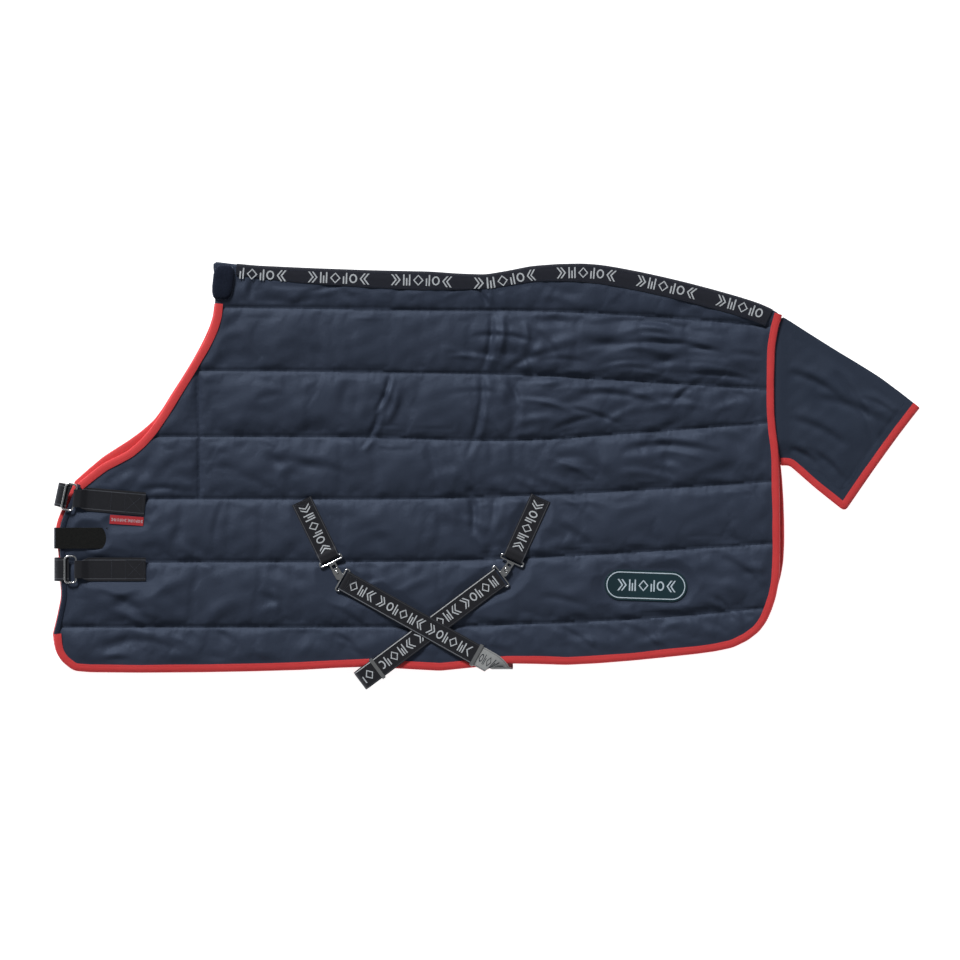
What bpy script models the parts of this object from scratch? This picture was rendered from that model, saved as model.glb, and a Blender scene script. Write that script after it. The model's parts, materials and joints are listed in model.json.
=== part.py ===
"""Horse rug lying folded flat along its spine, near side up.

+X runs from the chest to the tail, +Y from the hem to the spine and +Z up.
The origin is on the floor, under the middle of the rug's box.
"""

import math

import bpy
from mathutils import Matrix, Vector

# ---- Driving dimensions, in metres -------------------------------------------------
RUG_LENGTH = 1.750  # chest edge to tail edge
RUG_DROP = 0.970  # spine to hem, as it lies folded
BLOCK_LENGTH = 1.750  # size that the cutting pattern below is drawn at
BLOCK_DROP = 0.970

GAP = 0.0003  # between pieces that touch
OUTER_THICKNESS = 0.001
WADDING_THICKNESS = 0.009
LINING_THICKNESS = 0.0008
WEB_THICKNESS = 0.0016
BINDING_THICKNESS = 0.0015
BINDING_WIDTH = 0.018
FACING_WIDTH = 0.012
SURCINGLE_WIDTH = 0.050
CHEST_WEB_WIDTH = 0.056
TAB_WIDTH = 0.050
TAPE_WIDTH = 0.044
FLAP_CLOTH = 0.002
FLEECE_THICKNESS = 0.007

BUCKLE_WIRE = 0.0046
BUCKLE_WINDOW = 0.022
BUCKLE_CORNER = 0.009
CLIP_WIRE = 0.004
CLIP_WINDOW = 0.0055
CLIP_PLATE_THICKNESS = 0.0022
CLIP_LIFT = 0.0015
STUD_RADIUS = 0.002
SLOT_WIDTH = 0.006
SLOT_LENGTH = 0.011
HEAD_LENGTH = 0.010
HEAD_WIDTH = 0.005
ADJUSTER_WIRE = 0.0016
ADJUSTER_DEPTH = 0.010

BADGE_LENGTH = 0.196
BADGE_WIDTH = 0.072
BADGE_THICKNESS = 0.0015
LABEL_LENGTH = 0.080
LABEL_WIDTH = 0.021
LABEL_THICKNESS = 0.0008
LABEL_GAP = 0.0040
LABEL_TURN = 1.5  # degrees off the line of the upper chest strap

# ---- Heights of the layers, from the floor up ---------------------------------------
FAR_OUTER_Z = WEB_THICKNESS + GAP
FAR_WADDING_Z = FAR_OUTER_Z + OUTER_THICKNESS + GAP
FAR_LINING_Z = FAR_WADDING_Z + WADDING_THICKNESS + GAP
FAR_BINDING_TOP = FAR_LINING_Z + LINING_THICKNESS + GAP + BINDING_THICKNESS
FOLD_Z = FAR_BINDING_TOP + GAP / 2
NEAR_BINDING_Z = FOLD_Z + GAP / 2
NEAR_LINING_Z = NEAR_BINDING_Z + BINDING_THICKNESS + GAP
NEAR_WADDING_Z = NEAR_LINING_Z + LINING_THICKNESS + GAP
NEAR_OUTER_Z = NEAR_WADDING_Z + WADDING_THICKNESS + GAP
NEAR_TOP = NEAR_OUTER_Z + OUTER_THICKNESS
TRIM_Z = NEAR_TOP + GAP
BINDING_TOP = TRIM_Z + BINDING_THICKNESS
OVER_BINDING_Z = BINDING_TOP + GAP
UNDER_WEB = WEB_THICKNESS / 2
ON_RUG = TRIM_Z + WEB_THICKNESS / 2
REAR_RUN_Z = OVER_BINDING_Z + ADJUSTER_WIRE + GAP + WEB_THICKNESS / 2
FRONT_RUN_Z = REAR_RUN_Z + WEB_THICKNESS + GAP

# ---- Cutting pattern, drawn at the block size ---------------------------------------
TOPLINE = [(-0.648, 0.503), (-0.540, 0.491), (-0.272, 0.480), (-0.130, 0.477),
           (0.002, 0.470), (0.109, 0.490), (0.232, 0.496), (0.317, 0.486),
           (0.428, 0.463), (0.539, 0.435), (0.650, 0.402), (0.705, 0.375)]
NEAR_TAIL = [(0.705, 0.375), (0.688, 0.300), (0.686, 0.143), (0.695, 0.063),
             (0.698, -0.015), (0.700, -0.180), (0.696, -0.262), (0.680, -0.325),
             (0.650, -0.377), (0.588, -0.415), (0.501, -0.430)]
FAR_TAIL = [(0.705, 0.375), (0.690, 0.300), (0.688, 0.143), (0.697, 0.063),
            (0.706, -0.015), (0.711, -0.120), (0.709, -0.210), (0.696, -0.270),
            (0.676, -0.328), (0.646, -0.377), (0.584, -0.413), (0.501, -0.427)]
NEAR_HEM = [(0.501, -0.430), (0.347, -0.446), (0.193, -0.456), (0.054, -0.4525),
            (-0.106, -0.470), (-0.272, -0.460), (-0.4375, -0.468), (-0.674, -0.4735),
            (-0.934, -0.4735), (-0.985, -0.463), (-1.016, -0.429), (-1.023, -0.383)]
FAR_HEM = [(0.501, -0.427), (0.347, -0.443), (0.193, -0.453), (0.054, -0.4495),
           (-0.106, -0.467), (-0.272, -0.457), (-0.4375, -0.465), (-0.674, -0.4705),
           (-0.934, -0.4705), (-0.985, -0.461), (-1.019, -0.429), (-1.027, -0.383)]
NEAR_FRONT = [(-1.023, -0.383), (-1.004, -0.298), (-1.006, -0.255), (-1.008, -0.190),
              (-1.008, -0.129), (-0.992, -0.086), (-0.966, -0.026)]
FAR_FRONT = [(-1.027, -0.383), (-1.008, -0.298), (-1.010, -0.255), (-1.014, -0.190),
             (-1.020, -0.129), (-1.002, -0.082), (-0.974, -0.020)]
NEAR_NECK = [(-0.966, -0.026), (-0.905, 0.022), (-0.846, 0.052), (-0.793, 0.104),
             (-0.743, 0.182), (-0.695, 0.259), (-0.660, 0.322), (-0.642, 0.375),
             (-0.640, 0.430), (-0.648, 0.503)]
FAR_NECK = [(-0.974, -0.020), (-0.908, 0.037), (-0.850, 0.074), (-0.787, 0.124),
            (-0.745, 0.187), (-0.698, 0.261), (-0.664, 0.325), (-0.646, 0.375),
            (-0.643, 0.430), (-0.648, 0.503)]
FLAP_TOP = [(0.708, 0.372), (0.834, 0.293), (0.940, 0.228), (1.033, 0.157)]
FLAP_OUTER = [(1.033, 0.157), (0.985, 0.095), (0.920, 0.005), (0.854, -0.091)]
FLAP_LOWER = [(0.854, -0.091), (0.786, -0.037), (0.722, 0.019)]
FLAP_ROOT_FOOT = (0.703, 0.020)

SPINE_AXIS_Y = 0.505
FRONT_STRAP_TOP = (-0.435, -0.067)
FRONT_HOOK_AXIS = (-0.3675, -0.2045)
FRONT_STUD = (-0.3520, -0.2360)
FRONT_PLATE_AXIS = (-0.3330, -0.2570)
FRONT_ADJUSTER = (-0.020, -0.432)
FRONT_WRAP_Y = -0.4665
REAR_STRAP_TOP = (0.132, -0.060)
REAR_HOOK_AXIS = (0.0665, -0.2035)
REAR_STUD = (0.0520, -0.2310)
REAR_PLATE_AXIS = (0.0330, -0.2490)
REAR_ADJUSTER = (-0.255, -0.464)
REAR_WRAP_Y = -0.5000
STRAP_BEHIND = 0.26  # length of each strap's run under the far side
STRAP_SET_DOWN = 0.075
UPPER_CHEST_ROOT = (-0.804, -0.0752)
UPPER_BUCKLE = (-0.984, -0.0580)
UPPER_BUCKLE_HEADING = 168.0
LOWER_CHEST_ROOT = (-0.804, -0.2295)
LOWER_BUCKLE = (-0.9815, -0.2295)
LOWER_BUCKLE_HEADING = 180.0
BILLET_BEHIND = 0.14
TAB_TIP = (-0.894, -0.1555)
TAB_HINGE_X = -1.0125
TAB_BEHIND = 0.070
BADGE_CENTRE = (0.381, -0.268)
BADGE_TILT = -2.0
LABEL_ON_STRAP = (-0.846, -0.0712)  # where the middle of the label stands off the strap
ADJUSTER_REACH = 0.004  # how much longer an adjuster is than its webbing, each side

NAVY = (0.028, 0.036, 0.060)
LINING_NAVY = (0.020, 0.026, 0.045)
WADDING_WHITE = (0.80, 0.80, 0.78)
RED = (0.66, 0.075, 0.075)
BLACK = (0.018, 0.018, 0.020)
CHROME = (0.80, 0.81, 0.82)
BADGE_TEAL = (0.030, 0.055, 0.070)

for leftover in list(bpy.data.objects):
    bpy.data.objects.remove(leftover)


# ---- Points and paths ----------------------------------------------------------------
def grade(point):
    """A pattern point, graded from the block to this rug's length and drop."""
    return Vector((point[0] * RUG_LENGTH / BLOCK_LENGTH, point[1] * RUG_DROP / BLOCK_DROP))


def smooth(points, steps=2):
    """A Catmull-Rom curve through graded pattern points."""
    knots = [grade(p) for p in points]
    ends = [knots[0] * 2 - knots[1]] + knots + [knots[-1] * 2 - knots[-2]]
    curve = []
    for i in range(len(knots) - 1):
        a, b, c, d = ends[i : i + 4]
        for k in range(steps):
            t = k / steps
            point = b * 2 + (c - a) * t + (a * 2 - b * 5 + c * 4 - d) * t**2
            curve.append((point + (b * 3 - a - c * 3 + d) * t**3) / 2)
    curve.append(knots[-1])
    return curve


def joined(*curves):
    """Curves laid end to end, each shared end kept once."""
    path = list(curves[0])
    for curve in curves[1:]:
        path += curve[1:]
    return path


def inset(path, distance, closed=True):
    """A path running anticlockwise, moved to its left by a distance."""
    moved = []
    count = len(path)
    for i, here in enumerate(path):
        back = path[i - 1] if closed or i else None
        on = path[(i + 1) % count] if closed or i + 1 < count else None
        sides = [(b - a).normalized() for a, b in ((back, here), (here, on)) if a and b]
        normals = [Vector((-side.y, side.x)) for side in sides]
        mean = sum(normals, Vector((0, 0))).normalized()
        moved.append(here + mean * distance / max(0.5, mean.dot(normals[0])))
    return moved


def direction(heading):
    return Vector((math.cos(math.radians(heading)), math.sin(math.radians(heading)), 0))


def at_height(point, z):
    return Vector((point[0], point[1], z))


# ---- Solids --------------------------------------------------------------------------
def material(name, colour, roughness, metallic=0.0):
    made = bpy.data.materials.new(name)
    made.use_nodes = True
    shader = made.node_tree.nodes["Principled BSDF"]
    shader.inputs["Base Color"].default_value = (*colour, 1)
    shader.inputs["Roughness"].default_value = roughness
    shader.inputs["Metallic"].default_value = metallic
    made.diffuse_color = (*colour, 1)
    return made


def solid(name, corners, faces, look, origin=(0, 0, 0), parent=None):
    """A mesh object whose origin lies at the given place."""
    base = Vector(origin)
    mesh = bpy.data.meshes.new(name)
    mesh.from_pydata([Vector(corner) - base for corner in corners], [], faces)
    mesh.update()
    placed = bpy.data.objects.new(name, mesh)
    placed.location = base
    bpy.context.collection.objects.link(placed)
    if look:
        mesh.materials.append(look)
    if parent:
        placed.parent = parent
        placed.matrix_parent_inverse = parent.matrix_world.inverted()
    return placed


def tube_of_rings(name, rings, look, **place):
    """A closed body through rings of equally many points, capped at both ends."""
    size = len(rings[0])
    corners = [corner for ring in rings for corner in ring]
    faces = []
    for i in range(len(rings) - 1):
        for k in range(size):
            a, b = i * size + k, i * size + (k + 1) % size
            faces.append((a, b, b + size, a + size))
    faces.append(tuple(range(size))[::-1])
    faces.append(tuple(len(corners) - size + k for k in range(size)))
    return solid(name, corners, faces, look, **place)


def panel(name, outline, bottom, thickness, look, **place):
    """A flat sheet cut to an anticlockwise outline."""
    low = [at_height(p, bottom) for p in outline]
    high = [at_height(p, bottom + thickness) for p in outline]
    return tube_of_rings(name, [low, high], look, **place)


def channel(name, path, low, high, width, look, roof=BINDING_THICKNESS, parent=None):
    """Binding folded over an edge, whose path has the bound sheet on its left."""
    wall = BINDING_THICKNESS
    section = [(0, low), (width, low), (width, low + wall), (wall, low + wall),
               (wall, high - roof), (width, high - roof), (width, high), (0, high)]
    lines = [inset(path, across, closed=False) for across, _ in section]
    rings = []
    for i in range(len(path)):
        rings.append([at_height(line[i], z) for line, (_, z) in zip(lines, section)])
    return tube_of_rings(name, rings, look, parent=parent)


def strap(name, stations, thickness, look, **place):
    """Webbing through stations of (centre, heading, width, skew).

    The heading fixes the webbing's width direction. A skew slides its left edge
    forwards and its right edge backwards, for an edge that folds at a slant.
    """
    edges = []
    for centre, heading, width, skew in stations:
        along = direction(heading)
        left = Vector((-along.y, along.x, 0)) * width / 2 + along * skew
        edges.append((centre + left, centre - left))
    normals = []
    for a, b in zip(edges, edges[1:]):
        middle = (b[0] + b[1] - a[0] - a[1]) / 2
        across = (a[0] - a[1] + b[0] - b[1]) / 2
        normals.append(middle.cross(across).normalized())
    rings = []
    for i, (left, right) in enumerate(edges):
        near = normals[max(i - 1, 0)]
        mean = (near + normals[min(i, len(normals) - 1)]).normalized()
        out = mean * thickness / 2 / max(0.5, mean.dot(near))
        rings.append([left + out, right + out, right - out, left - out])
    return tube_of_rings(name, rings, look, **place)


def round_bar(points, radius, closed=False, sides=8):
    """Corners and faces of a round bar along points in one level plane."""
    count = len(points)
    rings = []
    for i, here in enumerate(points):
        before = points[i - 1] if closed or i else here
        after = points[(i + 1) % count] if closed or i + 1 < count else here
        along = (after - before).normalized()
        side = Vector((-along.y, along.x, 0))
        ring = []
        for k in range(sides):
            turn = 2 * math.pi * (k + 0.5) / sides
            ring.append(here + (side * math.cos(turn) + Vector((0, 0, math.sin(turn)))) * radius)
        rings.append(ring)
    corners = [corner for ring in rings for corner in ring]
    faces = []
    for i in range(count if closed else count - 1):
        for k in range(sides):
            a, b = i * sides + k, i * sides + (k + 1) % sides
            c, d = (b + sides) % len(corners), (a + sides) % len(corners)
            faces.append((a, b, c, d))
    if not closed:
        faces.append(tuple(range(sides))[::-1])
        faces.append(tuple(len(corners) - sides + k for k in range(sides)))
    return corners, faces


def ring_path(centre, heading, length, depth, corner, steps=3):
    """A rounded rectangle, its long sides square to the heading."""
    along = direction(heading)
    across = Vector((-along.y, along.x, 0))
    points = []
    for turn, (u, v) in enumerate(((1, 1), (-1, 1), (-1, -1), (1, -1))):
        for k in range(steps + 1):
            angle = math.pi / 2 * (turn + k / steps)
            x = u * (depth / 2 - corner) + corner * math.cos(angle)
            y = v * (length / 2 - corner) + corner * math.sin(angle)
            points.append(centre + along * x + across * y)
    return points


def join_to(target, helper, operation="UNION"):
    helper.hide_render = True
    helper.display_type = "WIRE"
    cut = target.modifiers.new(helper.name, "BOOLEAN")
    cut.operation = operation
    cut.object = helper


def block(name, centre, heading, length, width, bottom, top):
    """A box with its length along a heading, used as a cutter or joined to a piece."""
    along = direction(heading) * length / 2
    across = Vector((-along.y, along.x, 0)).normalized() * width / 2
    corners = [centre + along * u + across * v for u, v in ((1, 1), (-1, 1), (-1, -1), (1, -1))]
    return panel(name, corners, bottom, top - bottom, None)


def axis_empty(name, place):
    """Marks a joint's axis and carries the pieces that move on it."""
    marker = bpy.data.objects.new(name, None)
    marker.empty_display_size = 0.03
    marker.location = place
    bpy.context.collection.objects.link(marker)
    bpy.context.view_layer.update()
    return marker


# ---- Looks ---------------------------------------------------------------------------
shell_look = material("shell", NAVY, 0.5)
lining_look = material("lining", LINING_NAVY, 0.55)
wadding_look = material("wadding", WADDING_WHITE, 0.95)
binding_look = material("binding", RED, 0.7)
webbing_look = material("webbing", BLACK, 0.8)
chrome_look = material("chrome", CHROME, 0.12, 1.0)
fleece_look = material("fleece", NAVY, 1.0)
badge_look = material("badge", BADGE_TEAL, 0.6)

# ---- Joint axes ----------------------------------------------------------------------
spine_axis = axis_empty("spine_axis", at_height(grade((0, SPINE_AXIS_Y)), FOLD_Z))
flap_axis = axis_empty("tail_flap_axis", at_height(grade(FLAP_ROOT_FOOT), BINDING_TOP + GAP))

# ---- Outlines ------------------------------------------------------------------------
near_rim = [smooth(p) for p in (NEAR_TAIL, NEAR_HEM, NEAR_FRONT, NEAR_NECK)]
far_rim = [smooth(p) for p in (FAR_TAIL, FAR_HEM, FAR_FRONT, FAR_NECK)]
topline = smooth(TOPLINE)


def rug_outline(rim):
    """The whole outline, anticlockwise from the tail head."""
    tail, hem, front, neck = rim
    clockwise = joined(tail, hem, front, neck, topline)[:-1]
    return clockwise[::-1]


def bound_edge(*curves):
    """Part of the rim, run anticlockwise so that the rug is on its left."""
    return joined(*curves)[::-1]


EDGE_ROOM = BINDING_THICKNESS + GAP


def rug_side(side, rim, heights):
    outline = inset(rug_outline(rim), EDGE_ROOM)
    outer_z, wadding_z, lining_z = heights
    parent = spine_axis if side == "near" else None
    panel(f"{side}_outer", outline, outer_z, OUTER_THICKNESS, shell_look, parent=parent)
    panel(f"{side}_wadding", outline, wadding_z, WADDING_THICKNESS, wadding_look, parent=parent)
    panel(f"{side}_lining", outline, lining_z, LINING_THICKNESS, lining_look, parent=parent)


rug_side("far", far_rim, (FAR_OUTER_Z, FAR_WADDING_Z, FAR_LINING_Z))
rug_side("near", near_rim, (NEAR_OUTER_Z, NEAR_WADDING_Z, NEAR_LINING_Z))


# ---- Edge bindings, spine tape and wither fleece --------------------------------------
def from_height(path, y, keep_above):
    """The part of a rising path above or below a height y, cut exactly there."""
    for i, (a, b) in enumerate(zip(path, path[1:])):
        if a.y <= y < b.y:
            cut = a.lerp(b, (y - a.y) / (b.y - a.y))
            return [cut] + path[i + 1 :] if keep_above else path[: i + 1] + [cut]
    return path


def trimmed(path, start, end):
    """A path with a length taken off each end."""
    path = list(path)
    for at_end, length in ((False, start), (True, end)):
        path = path[::-1] if at_end else path
        while (path[1] - path[0]).length <= length:
            length -= (path[1] - path[0]).length
            path = path[1:]
        path[0] = path[0] + (path[1] - path[0]).normalized() * length
        path = path[::-1] if at_end else path
    return path


CORNER_TRIM = 0.006
FLEECE_FOOT_Y = 0.408
FLEECE_HEAD_Y = 0.488
FLEECE_WIDTH = 0.045
TAPE_FROM_FLEECE = 0.016
TAPE_FROM_TAIL = 0.024
fleece_foot = grade((0, FLEECE_FOOT_Y)).y
fleece_head = grade((0, FLEECE_HEAD_Y)).y


def bind_side(side, rim, low, high, front_width, front_look, fleece_top):
    tail, hem, front, neck = rim
    parent = spine_axis if side == "near" else None
    bound_neck = from_height(neck, fleece_foot, keep_above=False)
    padded_neck = from_height(neck, fleece_foot, keep_above=True)
    padded_neck = from_height(padded_neck, fleece_head, keep_above=False)
    edges = [("binding", trimmed(joined(tail, hem), GAP, CORNER_TRIM), BINDING_WIDTH, binding_look),
             ("front_edge", trimmed(front, CORNER_TRIM, CORNER_TRIM), front_width, front_look),
             ("neck_binding", trimmed(bound_neck, CORNER_TRIM, GAP), BINDING_WIDTH, binding_look)]
    made = []
    for part, path, width, look in edges:
        made.append(channel(f"{side}_{part}", path[::-1], low, high, width, look, parent=parent))
    channel(f"{side}_wither_fleece", padded_neck[::-1], low, fleece_top, FLEECE_WIDTH,
            fleece_look, roof=fleece_top - high + BINDING_THICKNESS, parent=parent)
    tape = trimmed(topline, FLEECE_WIDTH + TAPE_FROM_FLEECE, TAPE_FROM_TAIL)
    inner = inset(tape, -TAPE_WIDTH, closed=False)
    z = TRIM_Z if side == "near" else 0
    panel(f"{side}_spine_tape", inner + tape[::-1], z, BINDING_THICKNESS, binding_look, parent=parent)
    return made


far_bound = bind_side("far", far_rim, 0, FAR_BINDING_TOP, BINDING_WIDTH, binding_look,
                      FAR_BINDING_TOP)
bind_side("near", near_rim, NEAR_BINDING_Z, BINDING_TOP, FACING_WIDTH, shell_look,
          TRIM_Z + FLEECE_THICKNESS)

# ---- Tail flap, two layers folded at their top edge ------------------------------------
FLAP_GAP = 0.0006
FAR_FLAP_Z = BINDING_THICKNESS + GAP
FAR_FLAP_TOP = FAR_FLAP_Z + FLAP_CLOTH + GAP + BINDING_THICKNESS
NEAR_FLAP_LOW = FAR_FLAP_TOP + GAP
NEAR_FLAP_Z = NEAR_FLAP_LOW + BINDING_THICKNESS + GAP
NEAR_FLAP_TOP = NEAR_FLAP_Z + FLAP_CLOTH + GAP + BINDING_THICKNESS

flap_foot = grade(FLAP_ROOT_FOOT)
rising_tail = smooth(FAR_TAIL)[::-1]
root = from_height(rising_tail, flap_foot.y, keep_above=True)
root = from_height(root, grade(FLAP_TOP[0]).y, keep_above=False)
root = inset(root, -FLAP_GAP, closed=False)
flap_edge = joined(smooth(FLAP_LOWER, 1)[::-1], smooth(FLAP_OUTER)[::-1])
flap_outline = root[::-1] + flap_edge + smooth(FLAP_TOP)[::-1][1:-1]
flap_inner = inset(flap_outline, EDGE_ROOM)
flap_inner = root[::-1] + flap_inner[len(root) :]


def flap_layer(side, low, cloth_z, high):
    panel(f"{side}_tail_flap", flap_inner, cloth_z, FLAP_CLOTH, shell_look, parent=flap_axis)
    edge = trimmed(flap_edge, 0.002, 0.004)
    channel(f"{side}_flap_binding", edge, low, high, BINDING_WIDTH, binding_look,
            parent=flap_axis)


flap_layer("far", 0, FAR_FLAP_Z, FAR_FLAP_TOP)
flap_layer("near", NEAR_FLAP_LOW, NEAR_FLAP_Z, NEAR_FLAP_TOP)


# ---- Webbing ---------------------------------------------------------------------------
LOOP_BACK = 0.012
LOOP_APPROACH = 0.016
LOOP_SET_DOWN = 0.040
LOOP_STEPS = 6


def loop_round(bar, heading, wire, width):
    """Stations that bring webbing over a bar, round it and back beneath."""
    along = direction(heading)
    reach = wire / 2 + GAP + WEB_THICKNESS / 2
    up = Vector((0, 0, reach))
    stations = [(bar - along * LOOP_APPROACH + up, heading, width, 0)]
    for k in range(LOOP_STEPS + 1):
        turn = math.pi * (0.5 - k / LOOP_STEPS)
        around = along * math.cos(turn) + Vector((0, 0, math.sin(turn)))
        stations.append((bar + around * reach, heading, width, 0))
    stations.append((bar - along * LOOP_BACK - up, heading, width, 0))
    return stations


def heading_to(start, end):
    return math.degrees(math.atan2(end.y - start.y, end.x - start.x))


def slant(heading, width):
    """The skew that lays the end of a strap along X."""
    along = direction(heading)
    return -along.x * width / 2 / along.y


CLIP_Z = TRIM_Z + WEB_THICKNESS + GAP + CLIP_WIRE / 2
LOOP_WEB = SURCINGLE_WIDTH - 0.002


def upper_surcingle(name, top, axis):
    top = at_height(grade(top), ON_RUG)
    bar = at_height(grade(axis), CLIP_Z)
    heading = heading_to(top, bar)
    set_down = at_height(bar - direction(heading) * LOOP_SET_DOWN, ON_RUG)
    stations = [(top, heading, SURCINGLE_WIDTH, 0), (set_down, heading, SURCINGLE_WIDTH, 0)]
    stations += loop_round(bar, heading, CLIP_WIRE, LOOP_WEB)
    strap(name, stations, WEB_THICKNESS, webbing_look, parent=spine_axis)
    return heading


def wrapped_strap(name, adjuster, axis, wrap_y, run_z):
    """A long strap from its slot plate over the hem, and its run under the far side."""
    slide = at_height(grade(adjuster), run_z)
    bar = at_height(grade(axis), CLIP_Z)
    heading = heading_to(slide, bar)
    along = direction(heading)
    wall_y = grade((0, wrap_y)).y
    skew = slant(heading, SURCINGLE_WIDTH)
    corner = slide - along * (slide.y - wall_y) / along.y
    lean = along.x / along.y

    def on_wall(z):
        return Vector((corner.x - lean * (run_z - z), wall_y, z))

    stations = [(on_wall(FOLD_Z + GAP / 2), heading, SURCINGLE_WIDTH, skew),
                (corner, heading, SURCINGLE_WIDTH, skew),
                (slide, heading, SURCINGLE_WIDTH, 0),
                (at_height(bar - along * LOOP_SET_DOWN, run_z), heading, SURCINGLE_WIDTH, 0)]
    stations += loop_round(bar, heading, CLIP_WIRE, LOOP_WEB)
    strap(f"{name}_long_strap", stations, WEB_THICKNESS, webbing_look, parent=spine_axis)

    low = on_wall(UNDER_WEB)
    back = 180 - heading
    behind = direction(back)
    if behind.y < 0:
        back, behind = -heading, direction(-heading)
    end = low + behind * STRAP_BEHIND
    skew = slant(back, SURCINGLE_WIDTH)
    stations = [(on_wall(FOLD_Z - GAP / 2), back, SURCINGLE_WIDTH, skew),
                (low, back, SURCINGLE_WIDTH, skew),
                (end, back, SURCINGLE_WIDTH, 0)]
    strap(f"{name}_strap_far_run", stations, WEB_THICKNESS, webbing_look)
    notch(f"{name}_strap_notch", low, back, SURCINGLE_WIDTH)
    return heading


NOTCH_LENGTH = 0.260
NOTCH_OUTSIDE = 0.060
NOTCH_BELOW = 0.001


def notch(name, place, heading, width):
    """Room for webbing under the bindings of the far side's edge."""
    middle = place + direction(heading) * (NOTCH_LENGTH / 2 - NOTCH_OUTSIDE)
    room = block(name, middle, heading, NOTCH_LENGTH, width + GAP * 4, -NOTCH_BELOW,
                 FAR_OUTER_Z - GAP / 3)
    for binding in far_bound:
        join_to(binding, room, "DIFFERENCE")


def adjuster(name, place, heading, run_z):
    """A flat metal loop round the webbing, free to slide along it."""
    middle = at_height(grade(place), run_z)
    room = WEB_THICKNESS / 2 + GAP
    reach = room + ADJUSTER_WIRE
    marker = axis_empty(f"{name}_adjuster_axis", middle)
    marker.parent = spine_axis
    marker.matrix_parent_inverse = spine_axis.matrix_world.inverted()
    width = SURCINGLE_WIDTH + ADJUSTER_REACH * 2
    bpy.context.view_layer.update()
    body = block(f"{name}_adjuster", middle, heading, ADJUSTER_DEPTH, width,
                 run_z - reach, run_z + reach)
    body.data.materials.append(chrome_look)
    body.parent = marker
    body.matrix_parent_inverse = marker.matrix_world.inverted()
    window = block(f"{name}_adjuster_window", middle, heading, ADJUSTER_DEPTH * 2,
                   SURCINGLE_WIDTH + GAP * 4, run_z - room, run_z + room)
    join_to(body, window, "DIFFERENCE")


# ---- Surcingle clips: a T-hook on the upper strap, held in a slot plate ------------------
CLIP_SIDE_ROOM = 0.0012
CLIP_CORNER = 0.003
NECK_WIDTH = 0.016
NECK_THICKNESS = 0.0024
PLATE_WIDTH = 0.019
PLATE_MARGIN = 0.004


def clip_frame(name, bar, heading, parent):
    """A closed wire loop whose rear bar holds the webbing."""
    depth = CLIP_WINDOW + CLIP_WIRE
    length = SURCINGLE_WIDTH + CLIP_SIDE_ROOM * 2 + CLIP_WIRE
    centre = bar + direction(heading) * depth / 2
    path = ring_path(centre, heading, length, depth, CLIP_CORNER, steps=2)
    corners, faces = round_bar(path, CLIP_WIRE / 2, closed=True)
    frame = solid(name, corners, faces, chrome_look, origin=bar, parent=parent)
    return frame, bar + direction(heading) * depth


def clip_joint(name, bar):
    marker = axis_empty(name, bar)
    marker.parent = spine_axis
    marker.matrix_parent_inverse = spine_axis.matrix_world.inverted()
    bpy.context.view_layer.update()
    return marker


def clip(name, hook_axis, stud, plate_axis, hook_heading, strap_heading):
    hook_bar = at_height(grade(hook_axis), CLIP_Z)
    plate_bar = at_height(grade(plate_axis), CLIP_Z)
    post = at_height(hook_bar + (grade(stud) - grade(hook_axis)).to_3d(), CLIP_Z)
    plate_z = CLIP_Z + CLIP_LIFT
    head_z = plate_z + CLIP_PLATE_THICKNESS + CLIP_LIFT

    marker = clip_joint(f"{name}_hook_axis", hook_bar)
    hook, front = clip_frame(f"{name}_hook", hook_bar, hook_heading, marker)
    heading = heading_to(front, post)
    reach = (post - front).length + STUD_RADIUS
    neck = block(f"{name}_hook_neck", front + direction(heading) * reach / 2, heading, reach,
                 NECK_WIDTH, CLIP_Z - NECK_THICKNESS, CLIP_Z)
    join_to(hook, neck)
    stem = [post + Vector((math.cos(a), math.sin(a), 0)) * STUD_RADIUS
            for a in (math.pi / 4 * (k + 0.5) for k in range(8))]
    join_to(hook, panel(f"{name}_hook_stud", stem, CLIP_Z - NECK_THICKNESS / 2,
                        head_z - CLIP_Z + NECK_THICKNESS, None))
    join_to(hook, block(f"{name}_hook_head", post, heading, HEAD_WIDTH, HEAD_LENGTH,
                        head_z, head_z + CLIP_PLATE_THICKNESS))

    marker = clip_joint(f"{name}_plate_axis", plate_bar)
    plate, front = clip_frame(f"{name}_slot_plate", plate_bar, strap_heading, marker)
    heading = heading_to(front, post)
    reach = (post - front).length + SLOT_LENGTH / 2 + PLATE_MARGIN
    leaf = block(f"{name}_plate_leaf", front + direction(heading) * reach / 2, heading, reach,
                 PLATE_WIDTH, plate_z, plate_z + CLIP_PLATE_THICKNESS)
    join_to(plate, leaf)
    slot = block(f"{name}_plate_slot", post, heading, SLOT_LENGTH, SLOT_WIDTH,
                 plate_z - 0.001, plate_z + CLIP_PLATE_THICKNESS + 0.001)
    join_to(plate, slot, "DIFFERENCE")


for name, top, hook_axis, stud, plate_axis, slide, wrap_y, run_z in (
    ("front", FRONT_STRAP_TOP, FRONT_HOOK_AXIS, FRONT_STUD, FRONT_PLATE_AXIS,
     FRONT_ADJUSTER, FRONT_WRAP_Y, FRONT_RUN_Z),
    ("rear", REAR_STRAP_TOP, REAR_HOOK_AXIS, REAR_STUD, REAR_PLATE_AXIS,
     REAR_ADJUSTER, REAR_WRAP_Y, REAR_RUN_Z),
):
    hook_heading = upper_surcingle(f"{name}_surcingle", top, hook_axis)
    strap_heading = wrapped_strap(name, slide, plate_axis, wrap_y, run_z)
    adjuster(name, slide, strap_heading, run_z)
    clip(name, hook_axis, stud, plate_axis, hook_heading, strap_heading)

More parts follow.
